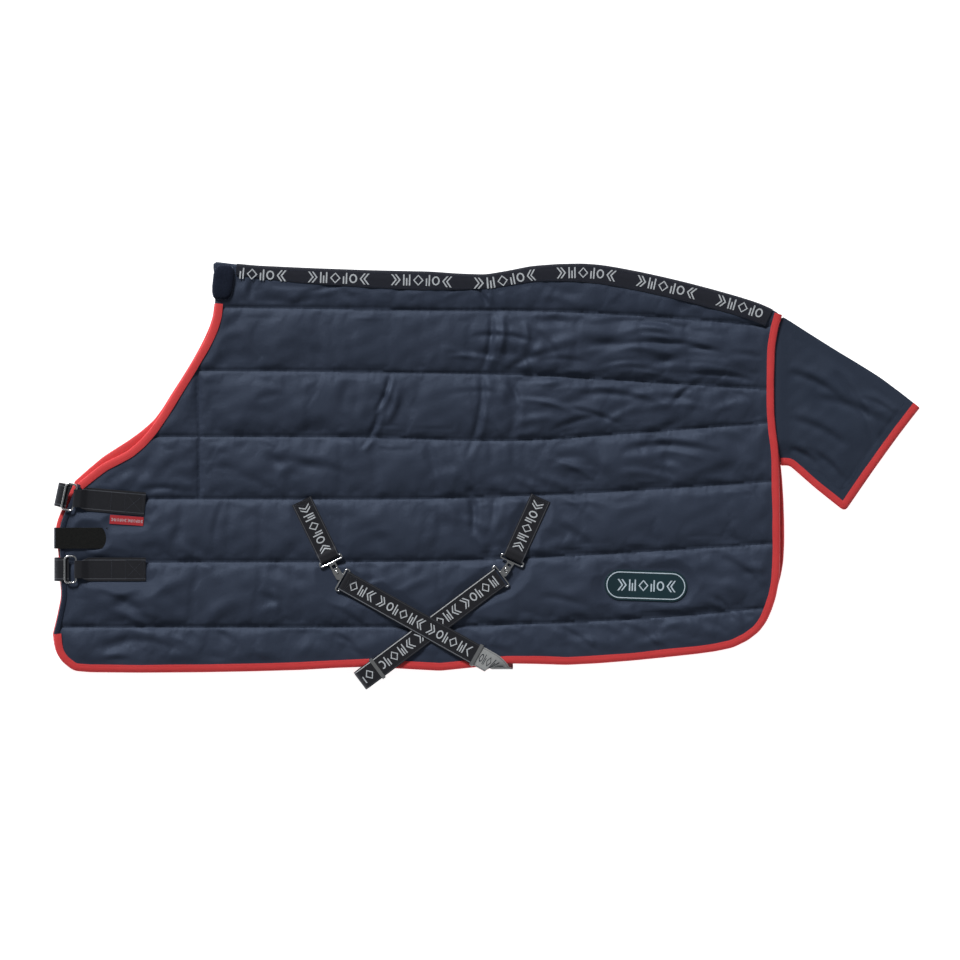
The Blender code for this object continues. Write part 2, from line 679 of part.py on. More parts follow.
# ---- Chest straps, their ring buckles and the billets from the far side -----------------
BUCKLE_Z = OVER_BINDING_Z + WEB_THICKNESS + GAP + BUCKLE_WIRE / 2
BUCKLE_SIDE_ROOM = 0.001
BUCKLE_LOOP_WEB = CHEST_WEB_WIDTH - 0.014
UPPER_BILLET_WALL = 0.0285  # from a buckle's middle to where its billet turns down
LOWER_BILLET_WALL = 0.0345
BILLET_TIP = 0.004


def chest_fastening(name, root, buckle, buckle_heading, billet_wall):
    start = at_height(grade(root), ON_RUG)
    centre = at_height(grade(buckle), BUCKLE_Z)
    along = direction(buckle_heading)
    depth = BUCKLE_WINDOW + BUCKLE_WIRE
    bar = centre - along * depth / 2
    set_down = at_height(bar - along * LOOP_SET_DOWN, ON_RUG)
    first = heading_to(start, set_down)
    stations = [(start, first, CHEST_WEB_WIDTH, 0),
                (set_down, (first + buckle_heading) / 2, CHEST_WEB_WIDTH, 0)]
    stations += loop_round(bar, buckle_heading, BUCKLE_WIRE, BUCKLE_LOOP_WEB)
    strap(f"{name}_chest_strap", stations, WEB_THICKNESS, webbing_look, parent=spine_axis)

    marker = clip_joint(f"{name}_buckle_axis", bar)
    length = CHEST_WEB_WIDTH + BUCKLE_SIDE_ROOM * 2 + BUCKLE_WIRE
    path = ring_path(centre, buckle_heading, length, depth, BUCKLE_CORNER)
    corners, faces = round_bar(path, BUCKLE_WIRE / 2, closed=True, sides=10)
    solid(f"{name}_buckle", corners, faces, chrome_look, origin=bar, parent=marker)

    billet_z = OVER_BINDING_Z + WEB_THICKNESS / 2
    tip = at_height(centre + along * BILLET_TIP, billet_z)
    turn = centre + along * billet_wall * RUG_LENGTH / BLOCK_LENGTH
    width = CHEST_WEB_WIDTH
    stations = [(tip, buckle_heading, width, 0),
                (at_height(turn, billet_z), buckle_heading, width, 0),
                (at_height(turn, FOLD_Z + GAP / 2), buckle_heading, width, 0)]
    strap(f"{name}_billet", stations, WEB_THICKNESS, webbing_look, parent=spine_axis)
    low = at_height(turn, UNDER_WEB)
    stations = [(at_height(turn, FOLD_Z - GAP / 2), buckle_heading, width, 0),
                (low, buckle_heading, width, 0),
                (low - along * BILLET_BEHIND, buckle_heading, width, 0)]
    strap(f"{name}_billet_far_run", stations, WEB_THICKNESS, webbing_look)
    notch(f"{name}_billet_notch", low, buckle_heading + 180, width)


chest_fastening("upper", UPPER_CHEST_ROOT, UPPER_BUCKLE, UPPER_BUCKLE_HEADING,
                UPPER_BILLET_WALL)
chest_fastening("lower", LOWER_CHEST_ROOT, LOWER_BUCKLE, LOWER_BUCKLE_HEADING,
                LOWER_BILLET_WALL)

# ---- Hook-and-loop tab round the front edge ---------------------------------------------
TAB_WALL = -1.0225
TAB_FOLD = 0.006
LOOP_PATCH = (0.075, 0.046)
TAB_HEADING = 180.0
tab_z = OVER_BINDING_Z + WEB_THICKNESS / 2
tab_turn = grade((TAB_WALL, TAB_TIP[1]))
tab_joint = tab_turn.to_3d() + Vector((TAB_FOLD, 0, tab_z + WEB_THICKNESS / 2 + GAP))
tab_axis = clip_joint("chest_tab_axis", tab_joint)
tab_tip = at_height(grade(TAB_TIP), tab_z)
tab_start = at_height(tab_joint + Vector((GAP / 2, 0, 0)), tab_z)
strap("chest_tab", [(tab_tip, TAB_HEADING, TAB_WIDTH, 0), (tab_start, TAB_HEADING, TAB_WIDTH, 0)],
      WEB_THICKNESS, webbing_look, parent=tab_axis)
fold_start = at_height(tab_joint - Vector((GAP / 2, 0, 0)), tab_z)
strap("tab_fold", [(fold_start, TAB_HEADING, TAB_WIDTH, 0),
                   (at_height(tab_turn, tab_z), TAB_HEADING, TAB_WIDTH, 0),
                   (at_height(tab_turn, FOLD_Z + GAP / 2), TAB_HEADING, TAB_WIDTH, 0)],
      WEB_THICKNESS, webbing_look, parent=spine_axis)
tab_low = at_height(tab_turn, UNDER_WEB)
strap("tab_far_run", [(at_height(tab_turn, FOLD_Z - GAP / 2), TAB_HEADING, TAB_WIDTH, 0),
                      (tab_low, TAB_HEADING, TAB_WIDTH, 0),
                      (tab_low + Vector((TAB_BEHIND, 0, 0)), TAB_HEADING, TAB_WIDTH, 0)],
      WEB_THICKNESS, webbing_look)
notch("tab_notch", tab_low, 0.0, TAB_WIDTH)
patch_centre = tab_tip + Vector((-LOOP_PATCH[0] / 2 - 0.004, 0, 0))
patch = block("tab_loop_patch", patch_centre, 0, *LOOP_PATCH, TRIM_Z, TRIM_Z + WEB_THICKNESS)
patch.data.materials.append(webbing_look)
patch.parent = spine_axis
patch.matrix_parent_inverse = spine_axis.matrix_world.inverted()

# ---- Badge and label ---------------------------------------------------------------------
ROUND_STEPS = 8


def stadium(centre, tilt, length, width):
    along = direction(tilt)
    across = Vector((-along.y, along.x, 0))
    points = []
    for end in (1, -1):
        for k in range(ROUND_STEPS + 1):
            angle = math.pi * (k / ROUND_STEPS - 0.5)
            x = end * (length - width) / 2 + end * math.cos(angle) * width / 2
            points.append(centre + along * x + across * end * math.sin(angle) * width / 2)
    return points


badge_outline = stadium(grade(BADGE_CENTRE).to_3d(), BADGE_TILT, BADGE_LENGTH, BADGE_WIDTH)
panel("badge", badge_outline, TRIM_Z, BADGE_THICKNESS, badge_look, parent=spine_axis)
label_look = material("label", RED, 0.5)
label_heading = heading_to(grade(UPPER_BUCKLE), grade(UPPER_CHEST_ROOT)) + LABEL_TURN
label_side = direction(label_heading - 90) * (CHEST_WEB_WIDTH / 2 + LABEL_WIDTH / 2 + LABEL_GAP)
label_centre = grade(LABEL_ON_STRAP).to_3d() + label_side
label = block("label_tag", label_centre, label_heading, LABEL_LENGTH, LABEL_WIDTH,
              TRIM_Z, TRIM_Z + LABEL_THICKNESS)
label.data.materials.append(label_look)
label.parent = spine_axis
label.matrix_parent_inverse = spine_axis.matrix_world.inverted()

# ---- Origin on the floor, under the middle of the whole ------------------------------------
bpy.context.view_layer.update()
corners = [piece.matrix_world @ Vector(corner) for piece in bpy.data.objects
           if piece.type == "MESH" and not piece.hide_render for corner in piece.bound_box]
for axis in (0, 1):
    reach = [corner[axis] for corner in corners]
    for piece in bpy.data.objects:
        if piece.parent is None:
            piece.location[axis] -= (min(reach) + max(reach)) / 2
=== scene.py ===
"""Quilted horse rug lying folded flat along its spine, near side up: the looks over the frame.

+X runs from the chest to the tail, +Y from the hem to the spine and +Z up, in metres.
"""

import json
import math

import bmesh
import bpy
import numpy as np
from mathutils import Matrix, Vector
from mathutils.geometry import delaunay_2d_cdt


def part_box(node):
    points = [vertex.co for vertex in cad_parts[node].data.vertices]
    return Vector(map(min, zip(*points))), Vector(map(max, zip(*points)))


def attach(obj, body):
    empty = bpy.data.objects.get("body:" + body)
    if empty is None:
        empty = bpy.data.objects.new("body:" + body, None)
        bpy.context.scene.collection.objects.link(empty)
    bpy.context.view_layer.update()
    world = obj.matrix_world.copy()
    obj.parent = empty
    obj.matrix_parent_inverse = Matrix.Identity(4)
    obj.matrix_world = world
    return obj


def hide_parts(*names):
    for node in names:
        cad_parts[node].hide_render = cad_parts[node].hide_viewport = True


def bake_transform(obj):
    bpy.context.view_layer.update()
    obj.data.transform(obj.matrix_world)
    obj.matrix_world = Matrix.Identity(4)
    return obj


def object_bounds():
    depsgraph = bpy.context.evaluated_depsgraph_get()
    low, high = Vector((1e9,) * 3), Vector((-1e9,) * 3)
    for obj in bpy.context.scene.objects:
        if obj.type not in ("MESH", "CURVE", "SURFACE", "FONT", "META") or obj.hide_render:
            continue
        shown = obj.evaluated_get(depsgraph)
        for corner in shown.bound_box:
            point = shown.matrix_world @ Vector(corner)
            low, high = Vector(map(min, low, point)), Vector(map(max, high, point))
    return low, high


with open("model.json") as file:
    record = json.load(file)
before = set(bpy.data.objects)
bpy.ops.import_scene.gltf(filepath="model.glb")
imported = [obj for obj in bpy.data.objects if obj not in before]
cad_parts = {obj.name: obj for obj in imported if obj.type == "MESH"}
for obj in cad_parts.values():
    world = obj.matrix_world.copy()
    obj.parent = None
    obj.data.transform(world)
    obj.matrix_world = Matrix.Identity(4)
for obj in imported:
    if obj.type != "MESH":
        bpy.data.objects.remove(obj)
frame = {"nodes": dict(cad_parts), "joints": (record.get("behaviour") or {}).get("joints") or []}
cad_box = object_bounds()
scene = bpy.context.scene
chance = np.random.default_rng(7)

# ---- Camera: straight down on the rug, as in the photo
VIEW_CENTRE = (-0.0139, -0.0178)
VIEW_HEIGHT = 6.0
VIEW_WIDTH = 2.2704
camera = bpy.data.objects.new("camera", bpy.data.cameras.new("camera"))
scene.collection.objects.link(camera)
camera.location = (*VIEW_CENTRE, VIEW_HEIGHT)
camera.data.lens = camera.data.sensor_width * (VIEW_HEIGHT - cad_box[1].z) / VIEW_WIDTH
camera.data.clip_end = 50
scene.camera = camera
scene.view_settings.view_transform = "Standard"

# ---- Heights, read from the frame
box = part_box
NEAR_TOP = box("near_outer")[1].z
NEAR_LOW = box("near_lining")[0].z
FAR_TOP = box("far_lining")[1].z
FAR_LOW = box("far_outer")[0].z
WEB = box("label_tag")[1].z - box("label_tag")[0].z + 0.0008
ON_RUG = box("front_surcingle")[0].z + WEB / 2
EDGE_ROOM = 0.0018  # from the cloth's edge to the outside of its binding
SEAM_Z = NEAR_TOP - 0.0062
PUFF_Z = NEAR_TOP + 0.0018
EDGE_Z = NEAR_TOP - 0.0019
BINDING_TOP = NEAR_TOP + 0.0001


def joint(name):
    return next(j for j in frame["joints"] if j["name"] == name)


def bar_of(name):
    return Vector(joint(name)["pos_m"])


# ---- Paths
FAR_AWAY = 1e9


def outline_of(node):
    """A node's outline seen from above, anticlockwise, read from its top faces."""
    mesh = frame["nodes"][node].data
    top = max(v.co.z for v in mesh.vertices) - 1e-5
    places = {}
    edges = set()
    for face in mesh.polygons:
        corners = [mesh.vertices[i].co for i in face.vertices]
        if min(c.z for c in corners) < top:
            continue
        keys = [(round(c.x * 2e4), round(c.y * 2e4)) for c in corners]
        places.update(zip(keys, corners))
        edges.update(zip(keys, keys[1:] + keys[:1]))
    onward = {a: b for a, b in edges if (b, a) not in edges}
    start = here = min(onward)
    path = []
    while not path or here != start:
        path.append(places[here].to_2d())
        here = onward[here]
    return path


def lengths(path):
    steps = [0.0]
    for a, b in zip(path, path[1:]):
        steps.append(steps[-1] + (b - a).length)
    return steps


def resample(path, step):
    """The same path with its points a near-equal step apart."""
    path = [Vector(p) for p in path]
    marks = lengths(path)
    count = max(2, round(marks[-1] / step) + 1)
    found = []
    i = 0
    for k in range(count):
        at = marks[-1] * k / (count - 1)
        while i < len(path) - 2 and marks[i + 1] < at:
            i += 1
        share = (at - marks[i]) / max(1e-9, marks[i + 1] - marks[i])
        found.append(path[i].lerp(path[i + 1], min(1.0, share)))
    return found


def softened(path, rounds=2):
    """A path with its corners eased, its ends kept."""
    for _ in range(rounds):
        middle = [(a + b * 2 + c) / 4 for a, b, c in zip(path, path[1:], path[2:])]
        path = [path[0], *middle, path[-1]]
    return path


def part_of(outline, start, end):
    """The stretch of an anticlockwise outline from near one place to near another."""
    first = min(range(len(outline)), key=lambda i: (outline[i] - Vector(start)).length)
    turned = outline[first:] + outline[:first]
    last = min(range(len(turned)), key=lambda i: (turned[i] - Vector(end)).length)
    return turned[: last + 1]


def tangents(path):
    found = []
    for i in range(len(path)):
        a, b = path[max(0, i - 1)], path[min(len(path) - 1, i + 1)]
        found.append((b - a).normalized())
    return found


def distance_to(points, path):
    """How far each point is from a path, seen from above."""
    line = np.array([p[:2] for p in path], float)
    best = np.full(len(points), FAR_AWAY)
    for a, b in zip(line, line[1:]):
        d = b - a
        t = np.clip(((points - a) @ d) / max(1e-12, d @ d), 0, 1)
        gap = points - a - t[:, None] * d
        best = np.minimum(best, np.hypot(gap[:, 0], gap[:, 1]))
    return best


def distance_to_any(points, paths):
    """How far each point is from the nearest of some paths."""
    best = np.full(len(points), FAR_AWAY)
    for path in paths:
        best = np.minimum(best, distance_to(points, path))
    return best


def inside(points, outline):
    """Which points lie inside a closed outline."""
    x, y = points[:, 0], points[:, 1]
    found = np.zeros(len(points), bool)
    for a, b in zip(outline, outline[1:] + outline[:1]):
        if abs(a.y - b.y) < 1e-9:
            continue
        crosses = (a.y > y) != (b.y > y)
        found ^= crosses & (x < (b.x - a.x) * (y - a.y) / (b.y - a.y) + a.x)
    return found


def step_up(x, low, high):
    t = np.clip((x - low) / (high - low), 0, 1)
    return t * t * (3 - 2 * t)


# ---- Meshes
def mesh_piece(name, points, faces, looks, face_looks=None, smooth=True, uvs=None):
    mesh = bpy.data.meshes.new(name)
    mesh.from_pydata([tuple(p) for p in points], [], faces)
    for look in looks:
        mesh.materials.append(look)
    if face_looks is not None:
        mesh.polygons.foreach_set("material_index", np.array(face_looks, np.int32))
    if uvs is not None:
        layer = mesh.uv_layers.new(name="web")
        corners = np.zeros(len(mesh.loops), np.int32)
        mesh.loops.foreach_get("vertex_index", corners)
        layer.data.foreach_set("uv", np.array(uvs, np.float32)[corners].ravel())
    mesh.polygons.foreach_set("use_smooth", [smooth] * len(mesh.polygons))
    mesh.update()
    obj = bpy.data.objects.new("rug_" + name, mesh)
    scene.collection.objects.link(obj)
    return obj


def crisp(obj, angle=38):
    """Keeps edges sharper than an angle crisp under smooth shading."""
    obj.data.set_sharp_from_angle(angle=math.radians(angle))
    return obj


class Build:
    """Gathers closed shapes that make up one piece."""

    def __init__(self):
        self.points = []
        self.faces = []
        self.looks = []
        self.uvs = []

    def add(self, points, faces, look=0, uvs=None):
        start = len(self.points)
        self.points += [tuple(p) for p in points]
        self.uvs += list(uvs) if uvs is not None else [(p[0], p[1]) for p in points]
        self.faces += [[i + start for i in face] for face in faces]
        self.looks += [look] * len(faces)

    def rings(self, rings, closed=False, look=0, uvs=None):
        """A tube through rings of equal count, capped unless it closes on itself."""
        n = len(rings[0])
        faces = []
        for i in range(len(rings) if closed else len(rings) - 1):
            j = (i + 1) % len(rings)
            for k in range(n):
                m = (k + 1) % n
                faces.append([i * n + k, i * n + m, j * n + m, j * n + k])
        if not closed:
            faces.append(list(range(n))[::-1])
            faces.append([(len(rings) - 1) * n + k for k in range(n)])
        flat = [uv for ring in uvs for uv in ring] if uvs else None
        self.add([p for ring in rings for p in ring], faces, look, flat)

    def piece(self, name, looks, smooth=True):
        return mesh_piece(name, self.points, self.faces, looks, self.looks, smooth, self.uvs)


def outwards(obj):
    """Turns the faces of closed shapes outwards."""
    held = bmesh.new()
    held.from_mesh(obj.data)
    bmesh.ops.recalc_face_normals(held, faces=held.faces)
    held.to_mesh(obj.data)
    held.free()
    return obj


def stitches(build, path, pitch, long, thick, look=0, lift=0.0):
    """A run of sewn stitches along a path in space, each a small rounded bead."""
    path = [Vector(p) for p in path]
    if sum((b - a).length for a, b in zip(path, path[1:])) < pitch * 1.5:
        return
    marks = resample(path, pitch)
    for a, b in zip(marks, marks[1:]):
        along = (b - a).normalized()
        across = along.cross(Vector((0, 0, 1)))
        if across.length < 1e-3:
            across = Vector((1, 0, 0))
        across.normalize()
        up = across.cross(along) * thick * 0.5
        middle = (a + b) / 2 + Vector((0, 0, lift))
        ring = []
        for share, size in ((-0.5, 0.4), (-0.25, 1), (0.25, 1), (0.5, 0.4)):
            core = middle + along * long * share
            side = across * thick * 0.5 * size
            ring.append([core + side, core + up * size, core - side, core - up * size])
        build.rings(ring, look=look)


# ---- Materials
class Look:
    """A material whose shader is built up from procedural nodes."""

    def __init__(self, name, colour, roughness, metallic=0.0, specular=0.5):
        self.material = bpy.data.materials.new(name)
        self.material.use_nodes = True
        self.tree = self.material.node_tree
        self.shader = next(n for n in self.tree.nodes if n.type == "BSDF_PRINCIPLED")
        self.shader.inputs["Base Color"].default_value = (*colour, 1)
        self.shader.inputs["Roughness"].default_value = roughness
        self.shader.inputs["Metallic"].default_value = metallic
        self.shader.inputs["Specular IOR Level"].default_value = specular
        self.height = None
        self.place = self.add("ShaderNodeTexCoord").outputs["Object"]

    def add(self, kind, **settings):
        node = self.tree.nodes.new(kind)
        for key, value in settings.items():
            setattr(node, key, value)
        return node

    def join(self, a, b):
        if isinstance(a, (int, float)):
            b.default_value = a
        else:
            self.tree.links.new(a, b)

    def maths(self, kind, a, b=0.0, c=None):
        node = self.add("ShaderNodeMath", operation=kind)
        self.join(a, node.inputs[0])
        self.join(b, node.inputs[1])
        if c is not None:
            self.join(c, node.inputs[2])
        return node.outputs[0]

    def split(self, vector):
        node = self.add("ShaderNodeSeparateXYZ")
        self.tree.links.new(vector, node.inputs[0])
        return node.outputs[0], node.outputs[1]

    def noise(self, scale, detail=3.0, where=None):
        node = self.add("ShaderNodeTexNoise")
        node.inputs["Scale"].default_value = scale
        node.inputs["Detail"].default_value = detail
        self.tree.links.new(where or self.place, node.inputs["Vector"])
        return node.outputs["Fac"]

    def weave(self, pitch, where=None):
        """Threads over and under, as a height from 0 to 1."""
        u, v = self.split(where or self.place)
        warp = self.maths("SINE", self.maths("MULTIPLY", u, 2 * math.pi / pitch))
        weft = self.maths("SINE", self.maths("MULTIPLY", v, 2 * math.pi / pitch))
        crossed = self.maths("MULTIPLY", warp, weft)
        return self.maths("MULTIPLY_ADD", crossed, 0.5, 0.5)

    def mottle(self, amount, low, high):
        """Blends the base colour between two by a factor."""
        ramp = self.add("ShaderNodeMix", data_type="RGBA")
        self.tree.links.new(amount, ramp.inputs[0])
        ramp.inputs[6].default_value = (*low, 1)
        ramp.inputs[7].default_value = (*high, 1)
        return ramp.outputs[2]

    def paint(self, colour):
        self.tree.links.new(colour, self.shader.inputs["Base Color"])

    def over(self, mask, colour):
        """Lays a colour over what is painted, where the mask is 1."""
        mix = self.add("ShaderNodeMix", data_type="RGBA")
        base = self.shader.inputs["Base Color"]
        if base.links:
            self.tree.links.new(base.links[0].from_socket, mix.inputs[6])
        else:
            mix.inputs[6].default_value = base.default_value
        mix.inputs[7].default_value = (*colour, 1)
        self.tree.links.new(mask, mix.inputs[0])
        self.tree.links.new(mix.outputs[2], base)

    def rough(self, factor, low, high):
        span = self.maths("MULTIPLY_ADD", factor, high - low, low)
        self.tree.links.new(span, self.shader.inputs["Roughness"])

    def bump(self, height, depth):
        node = self.add("ShaderNodeBump")
        node.inputs["Strength"].default_value = 1.0
        node.inputs["Distance"].default_value = depth
        self.tree.links.new(height, node.inputs["Height"])
        if self.height:
            self.tree.links.new(self.height, node.inputs["Normal"])
        self.height = node.outputs[0]
        self.tree.links.new(self.height, self.shader.inputs["Normal"])

    def glint(self, tint):
        """Tints the highlights."""
        self.shader.inputs["Specular Tint"].default_value = (*tint, 1)

    def sheen(self, weight, roughness, tint):
        self.shader.inputs["Sheen Weight"].default_value = weight
        self.shader.inputs["Sheen Roughness"].default_value = roughness
        self.shader.inputs["Sheen Tint"].default_value = (*tint, 1)


def cloth_look(name, low, high, roughness, weave_pitch, sheen, specular=0.3):
    look = Look(name, low, roughness, specular=specular)
    look.paint(look.mottle(look.noise(9, 5), low, high))
    look.rough(look.noise(30, 4), roughness - 0.05, roughness + 0.07)
    look.bump(look.noise(160, 3), 0.00035)
    look.bump(look.weave(weave_pitch), 0.00012)
    look.sheen(sheen, 0.45, (0.50, 0.66, 1.0))
    if high[2] > high[0]:
        look.glint((0.60, 0.74, 1.0))
    return look.material


def web_look(name, ground, stripe, other_stripe=None, roughness=0.75):
    """Ribbed webbing with a line near each edge; its UV runs along and across it in metres."""
    look = Look(name, ground, roughness, specular=0.25)
    web = look.add("ShaderNodeUVMap", uv_map="web").outputs[0]
    low = tuple(c * 0.82 for c in ground)
    high = tuple(c * 1.25 for c in ground)
    look.paint(look.mottle(look.noise(220, 2), low, high))
    u, v = look.split(web)
    look.over(look.maths("COMPARE", v, 0.0222, 0.0010), stripe)
    look.over(look.maths("COMPARE", v, -0.0222, 0.0008), other_stripe or stripe)
    look.bump(look.weave(0.0018, web), 0.00025)
    look.bump(look.noise(400, 2), 0.0002)
    look.sheen(0.25, 0.5, (0.8, 0.85, 1.0))
    return look.material


shell = cloth_look("shell_cloth", (0.0275, 0.0365, 0.0600), (0.0385, 0.0485, 0.0770), 0.52,
                   0.0012, 0.05, 0.36)
lining = cloth_look("lining_cloth", (0.010, 0.014, 0.028), (0.014, 0.019, 0.036), 0.5, 0.001,
                    0.05)
flap_cloth = cloth_look("flap_cloth", (0.0240, 0.0330, 0.0550), (0.0350, 0.0450, 0.0700), 0.52,
                        0.0012, 0.05, 0.36)
binding = cloth_look("binding_tape", (0.66, 0.046, 0.050), (0.80, 0.066, 0.068), 0.62, 0.0011,
                     0.12, 0.25)
facing = cloth_look("facing_cloth", (0.013, 0.017, 0.032), (0.019, 0.025, 0.043), 0.55, 0.0011,
                    0.1, 0.25)
webbing = web_look("webbing", (0.0095, 0.0100, 0.0135), (0.070, 0.074, 0.086))
front_web = web_look("front_webbing", (0.0095, 0.0100, 0.0135), (0.17, 0.18, 0.20),
                     (0.040, 0.043, 0.052))
rear_web = web_look("rear_webbing", (0.0095, 0.0100, 0.0135), (0.60, 0.62, 0.64),
                    (0.040, 0.043, 0.052))
web_back = web_look("webbing_back", (0.36, 0.37, 0.37), (0.20, 0.21, 0.22))
tape = web_look("spine_tape", (0.0100, 0.0115, 0.0200), (0.0110, 0.0125, 0.021))
print_look = cloth_look("woven_motif", (0.50, 0.53, 0.56), (0.62, 0.65, 0.68), 0.7, 0.0009, 0.1)
dark_print = cloth_look("woven_motif_dark", (0.02, 0.022, 0.03), (0.03, 0.033, 0.04), 0.7,
                        0.0009, 0.1)
thread = cloth_look("navy_thread", (0.020, 0.028, 0.050), (0.034, 0.045, 0.074), 0.5, 0.0006,
                    0.1)
red_thread = cloth_look("red_thread", (0.60, 0.060, 0.060), (0.70, 0.100, 0.095), 0.55, 0.0006,
                        0.1)
grey_thread = cloth_look("grey_thread", (0.045, 0.048, 0.060), (0.075, 0.08, 0.095), 0.6,
                         0.0006, 0.1)
label_look = cloth_look("label_cloth", (0.44, 0.024, 0.032), (0.56, 0.040, 0.050), 0.5, 0.001,
                        0.1)
pale_edge = cloth_look("badge_edge", (0.55, 0.66, 0.74), (0.66, 0.76, 0.84), 0.45, 0.001, 0.05)


def fluffy_look(name, low, high):
    look = Look(name, low, 0.95, specular=0.08)
    look.paint(look.mottle(look.noise(240, 5), low, high))
    look.bump(look.noise(520, 6), 0.0018)
    look.sheen(0.6, 0.35, (0.6, 0.68, 0.9))
    return look.material


fleece_look = fluffy_look("fleece_pile", (0.008, 0.011, 0.022), (0.020, 0.026, 0.045))
hook_look = fluffy_look("hook_and_loop", (0.0075, 0.0080, 0.0085), (0.020, 0.020, 0.018))


def chrome_look():
    look = Look("chrome", (0.78, 0.79, 0.80), 0.16, metallic=1.0)
    look.rough(look.noise(90, 6), 0.10, 0.30)
    look.bump(look.noise(700, 2), 0.00004)
    return look.material


def badge_fill():
    look = Look("badge_fill", (0.010, 0.030, 0.042), 0.35, specular=0.4)
    look.paint(look.mottle(look.noise(7, 2), (0.0055, 0.016, 0.023), (0.016, 0.050, 0.062)))
    look.bump(look.noise(300, 3), 0.0001)
    return look.material


chrome = chrome_look()
badge_look = badge_fill()

# ---- What lies on the rug, as bands of a half-width along a line
HOOK = {"front": bar_of("front_hook_tilt"), "rear": bar_of("rear_hook_tilt")}
PLATE = {"front": bar_of("front_plate_tilt"), "rear": bar_of("rear_plate_tilt")}


def middle_of(node):
    low, high = box(node)
    return (low + high) / 2


SLIDE = {"front": middle_of("front_adjuster"), "rear": middle_of("rear_adjuster")}
STRAP_WIDTH = 0.050
CHEST_WIDTH = box("lower_chest_strap")[1].y - box("lower_chest_strap")[0].y
TAB_WIDTH = box("chest_tab")[1].y - box("chest_tab")[0].y


def heading(a, b):
    return (b.to_2d() - a.to_2d()).normalized().to_3d()


def strap_top(side):
    """Where an upper surcingle is sewn on, from the box of its slanted strap."""
    low, high = box(f"{side}_surcingle")
    bar = HOOK[side]
    lean = -1 if side == "front" else 1
    edge = low.x if side == "front" else high.x
    reach = Vector((edge - bar.x, high.y - bar.y))
    along = Vector((lean * 0.45, 0.9)).normalized()
    for _ in range(4):
        half = Vector((abs(along.y), abs(along.x))) * STRAP_WIDTH / 2
        along = Vector((reach.x - lean * half.x, reach.y - half.y)).normalized()
    half = Vector((abs(along.y), abs(along.x))) * STRAP_WIDTH / 2
    return Vector((edge - lean * half.x, high.y - half.y, ON_RUG))


TOP = {"front": strap_top("front"), "rear": strap_top("rear")}
badge_mid = middle_of("badge")
label_mid = middle_of("label_tag")
CHEST_ROOT = {
    "upper": Vector((box("upper_chest_strap")[1].x - 0.003, -0.0752, ON_RUG)),
    "lower": Vector((box("lower_chest_strap")[1].x, middle_of("lower_chest_strap").y, ON_RUG)),
}
BUCKLE_BAR = {"upper": bar_of("upper_buckle_tilt"), "lower": bar_of("lower_buckle_tilt")}

near_outline = outline_of("near_outer")
far_outline = outline_of("far_outer")
TAIL_HEAD = (box("near_tail_flap")[0].x, box("near_tail_flap")[1].y)
TAPE_START = (box("near_spine_tape")[0].x, box("near_spine_tape")[1].y)
topline = part_of(near_outline, TAIL_HEAD, TAPE_START)

footprints = [
    ([TOP["front"], HOOK["front"]], STRAP_WIDTH / 2, NEAR_TOP),
    ([TOP["rear"], HOOK["rear"]], STRAP_WIDTH / 2, NEAR_TOP),
    ([HOOK["front"], PLATE["front"]], 0.034, NEAR_TOP),
    ([HOOK["rear"], PLATE["rear"]], 0.034, NEAR_TOP),
    ([PLATE["front"], SLIDE["front"]], STRAP_WIDTH / 2, NEAR_TOP + 0.0012),
    ([PLATE["rear"], SLIDE["rear"]], STRAP_WIDTH / 2, NEAR_TOP + 0.0010),
    ([CHEST_ROOT["upper"], BUCKLE_BAR["upper"]], CHEST_WIDTH / 2, NEAR_TOP),
    ([CHEST_ROOT["lower"], BUCKLE_BAR["lower"]], CHEST_WIDTH / 2, NEAR_TOP),
    ([middle_of("chest_tab"), middle_of("tab_loop_patch")], TAB_WIDTH / 2, NEAR_TOP),
    ([badge_mid - Vector((0.064, 0, 0)), badge_mid + Vector((0.064, 0, 0))], 0.04, NEAR_TOP),
    ([label_mid - Vector((0.03, 0, 0)), label_mid + Vector((0.03, 0, 0))], 0.013, NEAR_TOP),
    (topline, 0.045, NEAR_TOP),
]

# ---- Quilting lines
SEAMS = [
    [(-0.70, 0.394), (-0.20, 0.386), (0.10, 0.384), (0.40, 0.370), (0.75, 0.340)],
    [(-0.80, 0.243), (-0.30, 0.239), (0.10, 0.231), (0.45, 0.211), (0.75, 0.192)],
    [(-0.90, 0.086), (-0.30, 0.084), (0.05, 0.076), (0.35, 0.094), (0.75, 0.124)],
    [(-1.05, -0.061), (-0.30, -0.063), (0.05, -0.056), (0.35, -0.042), (0.75, -0.016)],
    [(-1.05, -0.213), (-0.30, -0.211), (0.05, -0.204), (0.40, -0.186), (0.75, -0.163)],
    [(-1.05, -0.366), (-0.30, -0.366), (0.05, -0.360), (0.40, -0.344), (0.75, -0.312)],
    [(-0.683, 0.236), (-0.681, 0.100), (-0.680, -0.056)],
]


def curve_through(points, step):
    knots = [Vector(p) for p in points]
    ends = [knots[0] * 2 - knots[1], *knots, knots[-1] * 2 - knots[-2]]
    found = []
    for a, b, c, d in zip(ends, ends[1:], ends[2:], ends[3:]):
        for k in range(12):
            t = k / 12
            cubic = (b * 3 - a - c * 3 + d) * t**3
            found.append((b * 2 + (c - a) * t + (a * 2 - b * 5 + c * 4 - d) * t**2 + cubic) / 2)
    return resample([*found, knots[-1]], step)


def seams_inside(outline, step, room):
    """The quilting lines, kept to what lies within an outline."""
    found = []
    rim = outline + outline[:1]
    for seam in SEAMS:
        path = curve_through(seam, step)
        spots = np.array([p[:] for p in path])
        keep = inside(spots, outline) & (distance_to(spots, rim) > room)
        found.append([p for p, kept in zip(path, keep) if kept])
    return found


